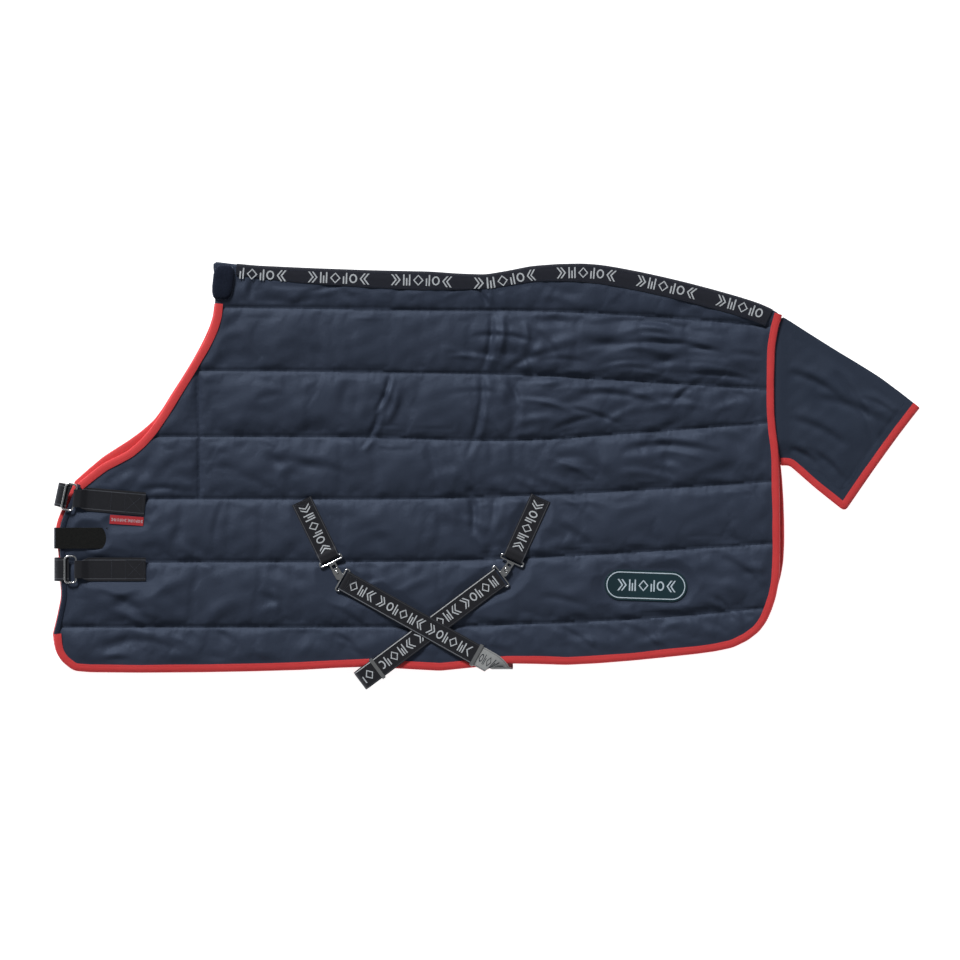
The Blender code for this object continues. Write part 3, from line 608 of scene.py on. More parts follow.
# ---- Creases and wrinkles
# Each crease is (start, end, width, height): a furrow with a ridge beside it.
CREASES = [
    ((0.014, 0.386), (-0.008, 0.240), 0.011, 0.0052),
    ((-0.008, 0.245), (-0.047, 0.030), 0.012, 0.0045),
    ((0.044, 0.372), (0.026, 0.262), 0.014, -0.0030),
    ((-0.227, 0.236), (-0.262, 0.140), 0.008, 0.0052),
    ((-0.250, 0.150), (-0.296, 0.055), 0.009, 0.0046),
    ((-0.205, 0.205), (-0.238, 0.110), 0.012, -0.0028),
    ((0.110, 0.340), (0.180, 0.250), 0.016, 0.0030),
    ((-0.560, 0.410), (-0.545, 0.470), 0.012, 0.0030),
    ((-0.020, 0.440), (0.004, 0.392), 0.010, 0.0042),
    ((-0.045, -0.020), (-0.030, -0.150), 0.012, 0.0036),
    ((0.020, -0.030), (0.000, -0.165), 0.014, 0.0034),
    ((-0.360, -0.380), (-0.290, -0.452), 0.012, 0.0030),
    ((-0.520, 0.030), (-0.380, 0.000), 0.018, 0.0026),
    ((-0.920, -0.285), (-0.790, -0.345), 0.016, 0.0028),
    ((-0.880, -0.395), (-0.700, -0.430), 0.016, 0.0026),
    ((0.230, -0.330), (0.420, -0.420), 0.016, 0.0034),
    ((0.450, -0.330), (0.600, -0.400), 0.014, 0.0034),
    ((0.560, -0.200), (0.670, -0.290), 0.014, 0.0030),
    ((0.480, 0.230), (0.640, 0.215), 0.010, 0.0036),
    ((0.300, 0.300), (0.560, 0.285), 0.010, 0.0036),
    ((0.260, 0.355), (0.520, 0.330), 0.012, 0.0032),
    ((0.200, 0.185), (0.420, 0.160), 0.012, 0.0034),
    ((0.330, 0.060), (0.560, 0.045), 0.012, 0.0032),
]
# Each zone is (middle, spread, direction in degrees, its spread, count, length, width, height).
WRINKLES = [
    ((0.40, 0.30), (0.17, 0.06), -6, 14, 34, 0.15, 0.008, 0.0020),
    ((0.42, 0.17), (0.17, 0.06), 2, 18, 34, 0.14, 0.008, 0.0019),
    ((0.40, 0.02), (0.18, 0.05), 5, 20, 20, 0.14, 0.010, 0.0017),
    ((0.05, 0.30), (0.05, 0.08), -72, 22, 14, 0.10, 0.009, 0.0020),
    ((-0.02, 0.12), (0.07, 0.08), -68, 26, 16, 0.11, 0.010, 0.0018),
    ((-0.27, 0.15), (0.06, 0.06), -70, 26, 14, 0.09, 0.010, 0.0017),
    ((-0.50, 0.32), (0.10, 0.06), -20, 40, 12, 0.12, 0.014, 0.0014),
    ((-0.50, 0.15), (0.14, 0.06), -15, 40, 14, 0.12, 0.014, 0.0014),
    ((-0.72, 0.00), (0.12, 0.10), 35, 30, 18, 0.12, 0.012, 0.0015),
    ((-0.45, -0.02), (0.20, 0.04), 5, 30, 14, 0.12, 0.012, 0.0013),
    ((0.00, -0.09), (0.05, 0.06), -82, 18, 16, 0.10, 0.010, 0.0018),
    ((-0.60, -0.16), (0.22, 0.05), -4, 30, 20, 0.13, 0.013, 0.0014),
    ((-0.65, -0.30), (0.22, 0.06), -8, 28, 24, 0.13, 0.012, 0.0016),
    ((-0.70, -0.42), (0.22, 0.03), -12, 24, 22, 0.11, 0.010, 0.0018),
    ((-0.05, -0.30), (0.10, 0.08), -30, 40, 14, 0.11, 0.012, 0.0015),
    ((0.28, -0.22), (0.14, 0.08), -28, 26, 20, 0.14, 0.012, 0.0016),
    ((0.40, -0.37), (0.16, 0.04), -24, 18, 28, 0.14, 0.010, 0.0020),
    ((0.60, -0.28), (0.06, 0.08), -38, 22, 18, 0.12, 0.010, 0.0018),
    ((0.60, -0.02), (0.06, 0.12), -12, 26, 16, 0.10, 0.011, 0.0015),
    ((-0.20, 0.43), (0.26, 0.02), -4, 20, 14, 0.12, 0.010, 0.0014),
]


def strokes():
    """Every crease and wrinkle as (start, end, width, height)."""
    found = [(np.array(a), np.array(b), w, h) for a, b, w, h in CREASES]
    for middle, spread, lean, fan, count, long, width, height in WRINKLES:
        for _ in range(count):
            at = np.array(middle) + chance.normal(0, 1, 2) * spread
            turn = math.radians(lean + chance.normal(0, fan))
            reach = np.array([math.cos(turn), math.sin(turn)]) * long * chance.uniform(0.5, 1.2)
            size = height * chance.uniform(0.4, 1.5) * chance.choice([-1, 1])
            wide = width * chance.uniform(0.9, 2.4)
            found.append((at - reach / 2, at + reach / 2, wide, size))
    return found


def wrinkle_height(points, marks):
    total = np.zeros(len(points))
    for a, b, width, height in marks:
        reach = b - a
        long = math.hypot(*reach)
        along = reach / long
        side = np.array([-along[1], along[0]])
        gap = points - a
        u = gap @ along / long
        near = (u > -0.05) & (u < 1.05)
        v = gap[near] @ side
        u = u[near]
        bow = v - 0.06 * long * np.sin(np.pi * np.clip(u, 0, 1))
        fade = np.sin(np.pi * np.clip(u, 0, 1)) ** 0.7
        ridge = np.exp(-(((bow - width) / width) ** 2)) * 0.6
        furrow = np.exp(-((bow / (width * 0.7)) ** 2))
        total[near] += fade * height * (ridge - furrow)
    return total


def ripple(points, scale, seed):
    """Smooth unevenness from a few crossed waves, from -1 to 1."""
    pick = np.random.default_rng(seed)
    total = np.zeros(len(points))
    for _ in range(9):
        turn = pick.uniform(0, 2 * math.pi)
        wave = pick.uniform(0.6, 1.7) / scale
        way = np.array([math.cos(turn), math.sin(turn)])
        total += np.sin(points @ way * wave * 2 * math.pi + pick.uniform(0, 6.3))
    return total / 5


# ---- Quilted sides
def cut_sheet(outline, seams, step):
    """A triangulated sheet with points along its rim and its quilting lines."""
    rim = resample(outline + outline[:1], step)[:-1]
    loop = rim + rim[:1]
    low = np.min([p[:] for p in rim], axis=0)
    high = np.max([p[:] for p in rim], axis=0)
    rows = np.arange(low[1], high[1], step * 0.866)
    spots = []
    for k, y in enumerate(rows):
        xs = np.arange(low[0] + (k % 2) * step / 2, high[0], step)
        spots.append(np.stack([xs, np.full(len(xs), y)], axis=1))
    spots = np.concatenate(spots)
    spots = spots[inside(spots, rim)]
    clear = distance_to(spots, loop) > step * 0.55
    for seam in seams:
        clear &= distance_to(spots, seam) > step * 0.5
    spots = spots[clear]
    corners = list(rim)
    edges = [(i, (i + 1) % len(rim)) for i in range(len(rim))]
    for seam in seams:
        start = len(corners)
        corners += seam
        edges += [(start + i, start + i + 1) for i in range(len(seam) - 1)]
    corners += [Vector(p) for p in spots]
    found = delaunay_2d_cdt(corners, edges, [], 1, 1e-5)
    points = np.array([p[:] for p in found[0]])
    faces = [list(face) for face in found[2]]
    return points, faces


def rim_of(faces):
    """The boundary edges of a sheet, each as its face runs."""
    edges = {(a, b) for f in faces for a, b in zip(f, f[1:] + f[:1])}
    return [(a, b) for a, b in edges if (b, a) not in edges]


def inflate(points, faces, seams, heights):
    """Lets the shell blow up between its pinned quilting lines, as cloth over wadding."""
    sheet = mesh_piece("cloth_blank", np.column_stack([points, heights]), faces, [shell])
    pins = sheet.vertex_groups.new(name="pins")
    held = np.flatnonzero(distance_to_any(points, seams) < SEAM_HOLD).tolist()
    held += [a for a, _ in rim_of(faces)]
    pins.add(held, 1.0, "REPLACE")
    cloth = sheet.modifiers.new("cloth", "CLOTH")
    settings = cloth.settings
    settings.quality = 5
    settings.mass = 0.15
    settings.tension_stiffness = 12
    settings.compression_stiffness = 12
    settings.shear_stiffness = 4
    settings.bending_stiffness = 1.6
    settings.air_damping = 4
    settings.shrink_min = -0.022
    settings.use_pressure = True
    settings.uniform_pressure_force = 0.55
    settings.vertex_group_mass = "pins"
    settings.effector_weights.gravity = 0.15
    cloth.collision_settings.use_collision = False
    cloth.point_cache.frame_start = 1
    cloth.point_cache.frame_end = SETTLE_FRAMES
    for number in range(1, SETTLE_FRAMES + 1):
        scene.frame_set(number)
    graph = bpy.context.evaluated_depsgraph_get()
    settled = sheet.evaluated_get(graph).to_mesh()
    found = np.array([v.co[:] for v in settled.vertices])
    bpy.data.objects.remove(sheet)
    scene.frame_set(1)
    # The sheet bellies downwards, so its shape is turned over and kept to a share of its depth.
    found[:, 2] = heights + (heights - found[:, 2]) * CROWN
    return found


def near_heights(points, rim, seams):
    """The near shell's height before it settles, and how far each point is from rim and seams."""
    edge = distance_to(points, rim)
    stitched = distance_to_any(points, seams)
    puffed = SEAM_Z + (PUFF_Z - SEAM_Z) * (1 - np.exp(-((stitched / PUFF_REACH) ** PUFF_ROUND)))
    past_tape = np.maximum(0, edge - FLAT_RIM)
    rising = EDGE_Z + (PUFF_Z - EDGE_Z) * (1 - np.exp(-past_tape / RIM_REACH))
    return np.minimum(puffed, rising), edge, stitched


PUFF_REACH = 0.017  # from a quilting line to where the shell has mostly risen
PUFF_ROUND = 0.85
FLAT_RIM = 0.019  # the shell stays down this far in, under its binding
RIM_REACH = 0.022
RIM_FREE = (0.016, 0.045)  # the shell may crease from the first to fully at the second
SEWN_REACH = 0.016  # creases are shallower this near a quilting line
SETTLE_FRAMES = 26  # steps of the cloth simulation
SEAM_HOLD = 0.0015  # cloth this near a quilting line is pinned
CROWN = 0.36  # share of the simulated depth that is kept
SWELL = 0.0075  # the most that the crown rises above PUFF_Z
SETTLED_SHARE = 0.85  # how far the drawn height gives way to the simulated one
CREASE_DEPTH = 1.45
SHEET_STEP = 0.0095
STITCH_PULL = 0.0016  # depth of the furrow at a quilting line
STITCH_REACH = 0.0036
PUCKER_HEIGHT = 0.00085
STRAP_SLOPE = 0.30  # how steeply the shell rises beside what lies on it
CLEAR = 0.0002  # between the shell and what lies on it
SAG = 0.0025  # the lowest that the shell goes below SEAM_Z


def finer(points, faces):
    """Each triangle cut in four, its new corners halfway along the old sides."""
    faces = np.array(faces)
    sides = np.concatenate([faces[:, [0, 1]], faces[:, [1, 2]], faces[:, [2, 0]]])
    whole, index = np.unique(np.sort(sides, axis=1), axis=0, return_inverse=True)
    index = index.reshape(3, -1) + len(points)
    middles = (points[whole[:, 0]] + points[whole[:, 1]]) / 2
    a, b, c = faces.T
    ab, bc, ca = index
    parts = [(a, ab, ca), (ab, b, bc), (ca, bc, c), (ab, bc, ca)]
    made = np.concatenate([np.stack(part, axis=1) for part in parts])
    return np.concatenate([points, middles]), made.tolist()


def quilt(name, outline, top_heights, low_heights, looks, settle):
    """A padded side of the rug: shell and lining, closed round the rim."""
    outline = softened(resample(outline + outline[:1], 0.006), 3)[:-1]
    seams = seams_inside(outline, SHEET_STEP * 0.8, 0.012)
    points, faces = cut_sheet(outline, seams, SHEET_STEP)
    faces = [f for f in faces if len(f) == 3]
    rim = outline + outline[:1]
    heights = top_heights(points, rim, seams)[0]
    placed = np.column_stack([points, heights])
    if settle:
        placed = inflate(points, faces, seams, heights)
    placed, faces = finer(placed, faces)
    flat = placed[:, :2]
    drawn, edge, stitched = top_heights(flat, rim, seams)
    free = step_up(edge, *RIM_FREE)
    if settle:
        marks = strokes()
        lift = placed[:, 2]
        rise = np.maximum(0, lift - PUFF_Z)
        lift = np.minimum(lift, PUFF_Z) + SWELL * np.tanh(rise / SWELL)
        sewn = step_up(stitched, 0.0, SEWN_REACH)
        drawn = drawn + (lift - drawn) * free * SETTLED_SHARE
        drawn = drawn + wrinkle_height(flat, marks) * CREASE_DEPTH * free * (0.35 + 0.65 * sewn)
        drawn += ripple(flat, 0.16, 3) * 0.0026 * free * sewn
        drawn += ripple(flat, 0.065, 8) * 0.0011 * free * sewn
        drawn -= STITCH_PULL * np.exp(-((stitched / STITCH_REACH) ** 2)) * free
        pucker = np.exp(-stitched / 0.012) * ripple(flat * (1, 0.25), 0.022, 5)
        drawn += pucker * PUCKER_HEIGHT * free
        for line, half, limit in footprints:
            clear = np.maximum(0, distance_to(flat, line) - half)
            drawn = np.minimum(drawn, limit - CLEAR + clear * STRAP_SLOPE)
        drawn = np.maximum(drawn, SEAM_Z - SAG)
    under = low_heights(flat, stitched)
    count = len(flat)
    top = np.column_stack([flat, drawn])
    base = np.column_stack([flat, under])
    walls = [[a, a + count, b + count, b] for a, b in rim_of(faces)]
    below = [[i + count for i in face[::-1]] for face in faces]
    face_looks = [0] * len(faces) + [1] * len(below) + [0] * len(walls)
    made = mesh_piece(name, np.concatenate([top, base]), faces + below + walls, looks,
                      face_looks)
    return outwards(made), top, seams


def far_heights(points, rim, seams):
    """The same for the far side, whose upper face stays level."""
    level = np.full(len(points), FAR_TOP)
    return level, distance_to(points, rim), distance_to_any(points, seams)


near_quilt, near_top, near_seams = quilt(
    "near_quilt", near_outline, near_heights,
    lambda flat, stitched: NEAR_LOW + 0.0006 + 0.0012 * np.exp(-stitched / 0.012),
    [shell, lining], settle=True)
far_quilt = quilt(
    "far_quilt", far_outline, far_heights,
    lambda flat, stitched: FAR_LOW + 0.0022 * np.exp(-stitched / 0.014),
    [lining, shell], settle=False)[0]
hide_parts("near_outer", "near_wadding", "near_lining")
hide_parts("far_outer", "far_wadding", "far_lining")

# ---- Bindings: tape rolled over the raw edges
BINDING_WIDTH = 0.0185
FACING_WIDTH = 0.012
FLAP_BINDING_WIDTH = 0.0165
TAPE_THICK = 0.0011
CURL = 0.0052  # radius of the roll over an edge
SEW_INSET = 0.0030


def rolled_tape(name, path, low, high, width, look, sew, lumps=0.0006, seed=1):
    """Tape folded over an edge, the rug on the path's left, with its row of stitches."""
    path = softened(resample(path, 0.006), 2)
    spots = np.array([p[:2] for p in path])
    wide = ripple(spots, 0.11, seed) * lumps
    lift = ripple(spots, 0.06, seed + 1) * 0.00035
    build = Build()
    rings = []
    rows = []
    seam = []
    marks = lengths(path)
    deep = high - low
    for i, (point, along) in enumerate(zip(path, tangents(path))):
        left = Vector((-along.y, along.x))
        w = width + wide[i]
        t = high + lift[i]
        curl = min(CURL, deep * 0.45)
        outer = [(w, t - 0.0002), (w * 0.6, t + 0.0002), (curl, t), (curl * 0.3, t - curl * 0.3),
                 (-0.0004, t - curl), (-0.0004, low + curl), (curl * 0.3, low + curl * 0.3),
                 (curl, low), (w * 0.6, low), (w, low + 0.0003)]
        inner = [(w, low + TAPE_THICK), (curl, low + TAPE_THICK),
                 (TAPE_THICK, low + curl * 1.1), (TAPE_THICK, t - curl * 1.1),
                 (curl, t - TAPE_THICK), (w, t - TAPE_THICK)]
        ring = []
        for reach, z in outer + inner:
            spot = point + left * (reach - EDGE_ROOM)
            ring.append(Vector((spot.x, spot.y, z)))
        rings.append(ring[::-1])
        rows.append([(marks[i], k * 0.003) for k in range(len(ring))])
        spot = point + left * (w - SEW_INSET - EDGE_ROOM)
        seam.append(Vector((spot.x, spot.y, t + 0.0001)))
    build.rings(rings, uvs=rows)
    stitches(build, seam, 0.0042, 0.0030, 0.0007, look=1)
    return outwards(crisp(build.piece(name, [look, sew])))


TAPE_ROOM = 0.0016  # by which the binding stands off the cloth it folds over
sides = {
    "near": (near_outline, BINDING_TOP, NEAR_LOW - TAPE_ROOM),
    "far": (far_outline, FAR_TOP + TAPE_ROOM, 0.0004),
}
bound = {}
for side, (outline, high, low) in sides.items():
    foot_low, foot_high = box(f"{side}_front_edge")
    foot = (foot_low.x, foot_low.y)
    head = (foot_high.x, foot_high.y)
    fleece = box(f"{side}_wither_fleece")
    collar = (fleece[0].x, fleece[0].y)
    hem = part_of(outline, foot, TAIL_HEAD)
    front = part_of(outline, head, foot)
    neck = part_of(outline, collar, head)
    front_look = facing if side == "near" else binding
    front_sew = thread if side == "near" else red_thread
    bound[side, "binding"] = rolled_tape(
        f"{side}_binding", hem, low, high, BINDING_WIDTH, binding, red_thread, seed=11)
    bound[side, "front"] = rolled_tape(
        f"{side}_front_edge", front, low, high, FACING_WIDTH, front_look, front_sew, seed=12)
    bound[side, "neck"] = rolled_tape(
        f"{side}_neck_binding", neck, low, high, BINDING_WIDTH, binding, red_thread,
        seed=13)
    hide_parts(f"{side}_binding")
    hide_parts(f"{side}_front_edge")
    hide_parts(f"{side}_neck_binding")

# ---- Motif: a generic row of marks woven into tapes and straps
STROKE = 0.115  # thickness of a mark, as a share of the motif's height


def bar(x, low=-0.5, high=0.5, wide=STROKE):
    return [(x - wide / 2, low), (x + wide / 2, low), (x + wide / 2, high), (x - wide / 2, high)]


def chevron(x, way):
    t = STROKE * 1.15
    tip = x + 0.22 * way
    upper = [(x - 0.12 * way, 0.5), (x - 0.12 * way + t, 0.5), (tip + t, 0), (tip, 0)]
    lower = [(tip, 0), (tip + t, 0), (x - 0.12 * way + t, -0.5), (x - 0.12 * way, -0.5)]
    return [upper, lower]


def loop(x, half_wide, half_tall, sides):
    """A ring of short strokes: a diamond with 4 sides, an oval with more."""
    found = []
    for k in range(sides):
        quad = []
        for turn, size in ((k, 1), (k + 1, 1), (k + 1, 0), (k, 0)):
            angle = 2 * math.pi * turn / sides
            wide = half_wide - (0 if size else STROKE * 1.1)
            tall = half_tall - (0 if size else STROKE * 1.1)
            quad.append((x + wide * math.cos(angle), tall * math.sin(angle)))
        found.append(quad)
    return found


def motif():
    """Chevrons, bars, a diamond and an oval, about five times as long as it is tall."""
    found = [*chevron(-2.25, 1), *chevron(-1.95, 1)]
    found += [bar(-1.35), bar(-1.12, -0.5, 0.18), bar(-0.89, -0.5, 0.5)]
    found += loop(-0.20, 0.42, 0.50, 4)
    found += [bar(0.46, -0.5, 0.18), bar(0.69, -0.5, 0.5)]
    found += loop(1.22, 0.32, 0.42, 12)
    found += [*chevron(1.95, -1), *chevron(2.25, -1)]
    return found


def print_motif(build, place, starts, tall, look, flip=1, thick=0.00022, long=1.0, begin=0.0,
                end=9.0):
    """Lays the motif on a surface, from begin to end; place(u, v, lift) gives a point on it."""
    for start in starts:
        for shape in motif():
            reach = [start + x * tall * flip * long for x, _ in shape]
            if max(reach) > end or min(reach) < begin:
                continue
            lower = [place(start + x * tall * flip * long, y * tall * flip, 0.00005)
                     for x, y in shape]
            upper = [place(start + x * tall * flip * long, y * tall * flip, thick)
                     for x, y in shape]
            n = len(shape)
            sides_of = [[k, (k + 1) % n, n + (k + 1) % n, n + k] for k in range(n)]
            faces = [list(range(n))[::-1], list(range(n, 2 * n)), *sides_of]
            build.add(lower + upper, faces, look)


# ---- Webbing
class Strap:
    """Webbing along a path in space, with its side to side direction at each point."""

    def __init__(self, points, across, width, thick=WEB, step=0.004, widths=None):
        self.width = width
        self.thick = thick
        marks = lengths(points)
        count = max(3, round(marks[-1] / step) + 1)
        wides = widths or [width] * len(points)
        self.rows = []
        i = 0
        for k in range(count):
            at = marks[-1] * k / (count - 1)
            while i < len(points) - 2 and marks[i + 1] < at:
                i += 1
            share = min(1.0, (at - marks[i]) / max(1e-9, marks[i + 1] - marks[i]))
            point = points[i].lerp(points[i + 1], share)
            side = across[i].lerp(across[i + 1], share).normalized()
            self.rows.append((at, point, side, wides[i] + (wides[i + 1] - wides[i]) * share))
        middles = [r[1] for r in self.rows]
        self.long = marks[-1]
        self.ups = []
        for along, row in zip(tangents(middles), self.rows):
            self.ups.append(row[2].cross(along).normalized())

    def at(self, u, v, lift=0.0):
        """A point u along and v across the top of the strap."""
        share = min(max(u / self.long, 0), 1) * (len(self.rows) - 1)
        i = min(int(share), len(self.rows) - 2)
        t = share - i
        a, b = self.rows[i], self.rows[i + 1]
        up = self.ups[i].lerp(self.ups[i + 1], t)
        point = a[1].lerp(b[1], t) + a[2].lerp(b[2], t) * v
        return point + up * (self.thick / 2 + lift)

    def web(self, build, look=0, first=0, last=None):
        rings = []
        uvs = []
        half_thick = self.thick / 2
        for (at, point, side, wide), up in list(zip(self.rows, self.ups))[first:last]:
            half = wide / 2
            soft = 0.0006
            ring = []
            row = []
            for v, z in ((-half, 0), (-half + soft, -half_thick), (half - soft, -half_thick),
                         (half, 0), (half - soft, half_thick), (0.0, half_thick * 1.06),
                         (-half + soft, half_thick)):
                ring.append(point + side * v + up * z)
                row.append((at, v))
            rings.append(ring)
            uvs.append(row)
        build.rings(rings, look=look, uvs=uvs)

    def sewn_box(self, build, start, end, look, inset=0.006, cross=True):
        """A stitched box, with a cross in it, between two places along the strap."""
        half = self.width / 2 - inset
        corners = [(start, -half), (end, -half), (end, half), (start, half), (start, -half)]
        lines = list(zip(corners, corners[1:]))
        if cross:
            lines += [((start, -half), (end, half)), ((start, half), (end, -half))]
        for (u0, v0), (u1, v1) in lines:
            count = max(2, round(math.hypot(u1 - u0, v1 - v0) / 0.006))
            path = [self.at(u0 + (u1 - u0) * k / count, v0 + (v1 - v0) * k / count, 0.0002)
                    for k in range(count + 1)]
            stitches(build, path, 0.0038, 0.0027, 0.0007, look=look)


BAR_CLEAR = 0.0003  # between a bar and the webbing round it
WORD_TALL = 0.0255  # height of the motif on the straps
STRAP_WORD_PITCH = 0.135
HIDDEN_RUN = 0.20  # of a long strap under the far side


def round_bar_end(bar_at, along, radius, back):
    """The turn of webbing over a bar, round it and back beneath."""
    turn = []
    for k in range(11):
        angle = math.pi * (0.5 - k / 10)
        turn.append(bar_at + along * math.cos(angle) * radius
                    + Vector((0, 0, math.sin(angle) * radius)))
    turn.append(bar_at - along * back - Vector((0, 0, radius)))
    return turn


def rooted_strap(name, root, bar_at, wire, width, loop_width, sit, low, replaced, body, words,
                 boxes):
    """A strap sewn down at its root, whose other end loops round a bar."""
    along = heading(root, bar_at)
    radius = wire / 2 + WEB / 2 + BAR_CLEAR
    points = [root.copy()]
    points.append(bar_at - along * sit)
    points[-1].z = low
    points.append(bar_at - along * sit * 0.72 + Vector((0, 0, (low - bar_at.z) * 0.8)))
    points.append(bar_at - along * 0.014 + Vector((0, 0, radius * 0.95)))
    points += round_bar_end(bar_at, along, radius, 0.012)
    side = Vector((along.y, -along.x, 0))
    wides = [width] * 2 + [width] + [loop_width] * (len(points) - 3)
    strap = Strap(points, [side] * len(points), width, widths=wides, step=0.003)
    build = Build()
    strap.web(build)
    if words:
        tall, starts, flip = words
        print_motif(build, strap.at, starts, tall, 1, flip)
    for start, end in boxes:
        strap.sewn_box(build, start, end, 2)
    made = outwards(crisp(build.piece(name, [webbing, print_look, grey_thread]), 50))
    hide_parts(*replaced)
    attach(made, body)
    return made


CLIP_WIRE = 0.004
LOOP_WEB = STRAP_WIDTH - 0.002
for side, flip in (("front", 1), ("rear", -1)):
    long = (HOOK[side] - TOP[side]).length
    rooted_strap(f"{side}_surcingle", TOP[side], HOOK[side], CLIP_WIRE, STRAP_WIDTH, LOOP_WEB,
                 0.030, ON_RUG, [f"{side}_surcingle"], "near_side",
                 (WORD_TALL, [long * 0.47], flip), [(0.003, 0.022)])

BUCKLE_WIRE = 0.0046
for which in ("upper", "lower"):
    rooted_strap(f"{which}_chest_strap", CHEST_ROOT[which], BUCKLE_BAR[which], BUCKLE_WIRE,
                 CHEST_WIDTH, CHEST_WIDTH - 0.014, 0.040, ON_RUG, [f"{which}_chest_strap"],
                 "near_side", None, [(0.004, 0.048), (0.080, 0.0805)])

FAR_RUN_Z = WEB / 2


def wrapping_strap(name, points, across, width, replaced, extra=None, step=0.004, web=None):
    """A strap that starts on the near side and ends under the far side."""
    strap = Strap(points, across, width, step=step)
    build = Build()
    if extra:
        extra(strap, build)
    else:
        strap.web(build)
    looks = [web or webbing, print_look, grey_thread, web_back, dark_print]
    made = outwards(crisp(build.piece(name, looks), 50))
    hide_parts(*replaced)
    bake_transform(made)
    return made


def over_edge(turn_at, out, high, low, steps=12):
    """A half turn in space from a height down to a lower one, bulging outwards."""
    radius = (high - low) / 2
    found = []
    for k in range(steps + 1):
        angle = math.pi * (0.5 - k / steps)
        found.append(Vector((turn_at.x, turn_at.y, (high + low) / 2))
                     + out * (math.cos(angle) - 1) * radius
                     + Vector((0, 0, math.sin(angle) * radius)))
    return found


def long_strap(side, wrap_y, pale):
    """A long surcingle strap, from its slot plate over the hem and under the far side."""
    bar_at = PLATE[side]
    slide = SLIDE[side]
    run_z = slide.z
    along = heading(slide, bar_at)
    radius = CLIP_WIRE / 2 + WEB / 2 + BAR_CLEAR
    level = Vector((-along.y, along.x, 0))
    down = Vector((0, -1, 0))
    lean = along.x / along.y
    corner = slide - along * ((slide.y - wrap_y) / along.y)
    points = [bar_at - along * 0.012 - Vector((0, 0, radius))]
    for k in range(11):
        angle = math.pi * (-0.5 + k / 10)
        points.append(bar_at + along * math.cos(angle) * radius
                      + Vector((0, 0, math.sin(angle) * radius)))
    points.append(bar_at - along * 0.030 + Vector((0, 0, run_z - bar_at.z)))
    across = [level] * len(points)
    start = corner + along * ((run_z - FAR_RUN_Z) / 2 / along.y)
    points.append(start + along * 0.040 if pale else slide + along * 0.02)
    points[-1].z = run_z
    across.append(level)
    sideways = Vector((1, 0, 0)) * (1 if level.x > 0 else -1)
    turn = over_edge(corner, down, run_z, FAR_RUN_Z)
    if not pale:
        down, sideways, lean = -along, level, 0.0
        turn = over_edge(slide - along * 0.052, down, run_z, FAR_RUN_Z)
    for k, point in enumerate(turn):
        gone = (point.y if k <= len(turn) // 2 else turn[len(turn) // 2].y) - corner.y
        points.append(point + Vector((gone * lean, 0, 0)))
        across.append(level.lerp(sideways, min(1, k / 3)).normalized())
    points.append(points[-1] - down * HIDDEN_RUN)
    across.append(sideways)

    def dress(strap, build):
        cut = (slide - bar_at).length + 0.022
        rows = [i for i, row in enumerate(strap.rows) if row[0] <= cut]
        split = rows[-1] if pale else len(strap.rows) - 1
        strap.web(build, 0, 0, split + 1)
        if pale:
            strap.web(build, 3, split, None)
        run = (slide - bar_at).length
        starts = [(0.042 if pale else 0.066) + STRAP_WORD_PITCH * k for k in range(3)]
        flip = -1 if side == "front" else 1
        print_motif(build, strap.at, starts, WORD_TALL, 1, flip, begin=0.030, end=run + 0.012)
        if not pale:
            print_motif(build, strap.at, [run + 0.050], WORD_TALL, 1, flip, begin=run + 0.032,
                        end=run + 0.068)
        if pale:
            print_motif(build, strap.at, [cut + 0.030], WORD_TALL, 4, flip, long=0.55)
        strap.sewn_box(build, 0.030, 0.046, 2)

    return wrapping_strap(f"{side}_long_strap", points, across, STRAP_WIDTH,
                          [f"{side}_long_strap", f"{side}_strap_far_run"], dress, step=0.003,
                          web=front_web if pale else rear_web)


FRONT_WRAP_Y = box("front_long_strap")[0].y + WEB / 2
REAR_WRAP_Y = box("rear_long_strap")[0].y + WEB / 2
long_strap("rear", REAR_WRAP_Y, pale=False)
long_strap("front", FRONT_WRAP_Y, pale=True)

for which in ("upper", "lower"):
    bar_at = BUCKLE_BAR[which]
    along = heading(CHEST_ROOT[which], bar_at)
    if which == "upper":
        along = Vector((-math.cos(math.radians(12)), math.sin(math.radians(12)), 0))
    side = Vector((-along.y, along.x, 0))
    high = box(f"{which}_billet")[1].z - WEB / 2
    reach = bar_at.x - box(f"{which}_billet")[0].x + 0.006
    if which == "upper":
        reach -= CHEST_WIDTH / 2 * abs(along.y)
    centre = bar_at + along * (0.022 + BUCKLE_WIRE) / 2
    turn = bar_at + along * (reach - WEB / 2)
    edge = over_edge(turn, along, high, FAR_RUN_Z)
    tip = centre + along * 0.004
    points = [Vector((tip.x, tip.y, high)), *edge, edge[-1] - along * 0.115]
    wrapping_strap(f"{which}_billet", points, [side] * len(points), CHEST_WIDTH,
                   [f"{which}_billet", f"{which}_billet_far_run"])

# ---- Hook-and-loop tab
tab_low, tab_high = box("chest_tab")
tab_z = (tab_low.z + tab_high.z) / 2
tab_y = (tab_low.y + tab_high.y) / 2
tab = Strap([Vector((tab_high.x, tab_y, tab_z)), Vector((tab_low.x, tab_y, tab_z))],
            [Vector((0, -1, 0))] * 2, TAB_WIDTH, thick=WEB * 1.1, step=0.004)
build = Build()
tab.web(build)
tab.sewn_box(build, 0.078, tab.long - 0.004, 1, cross=False)
chest_tab = outwards(crisp(build.piece("chest_tab", [hook_look, grey_thread]), 50))
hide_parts("chest_tab")
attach(chest_tab, "chest_tab")

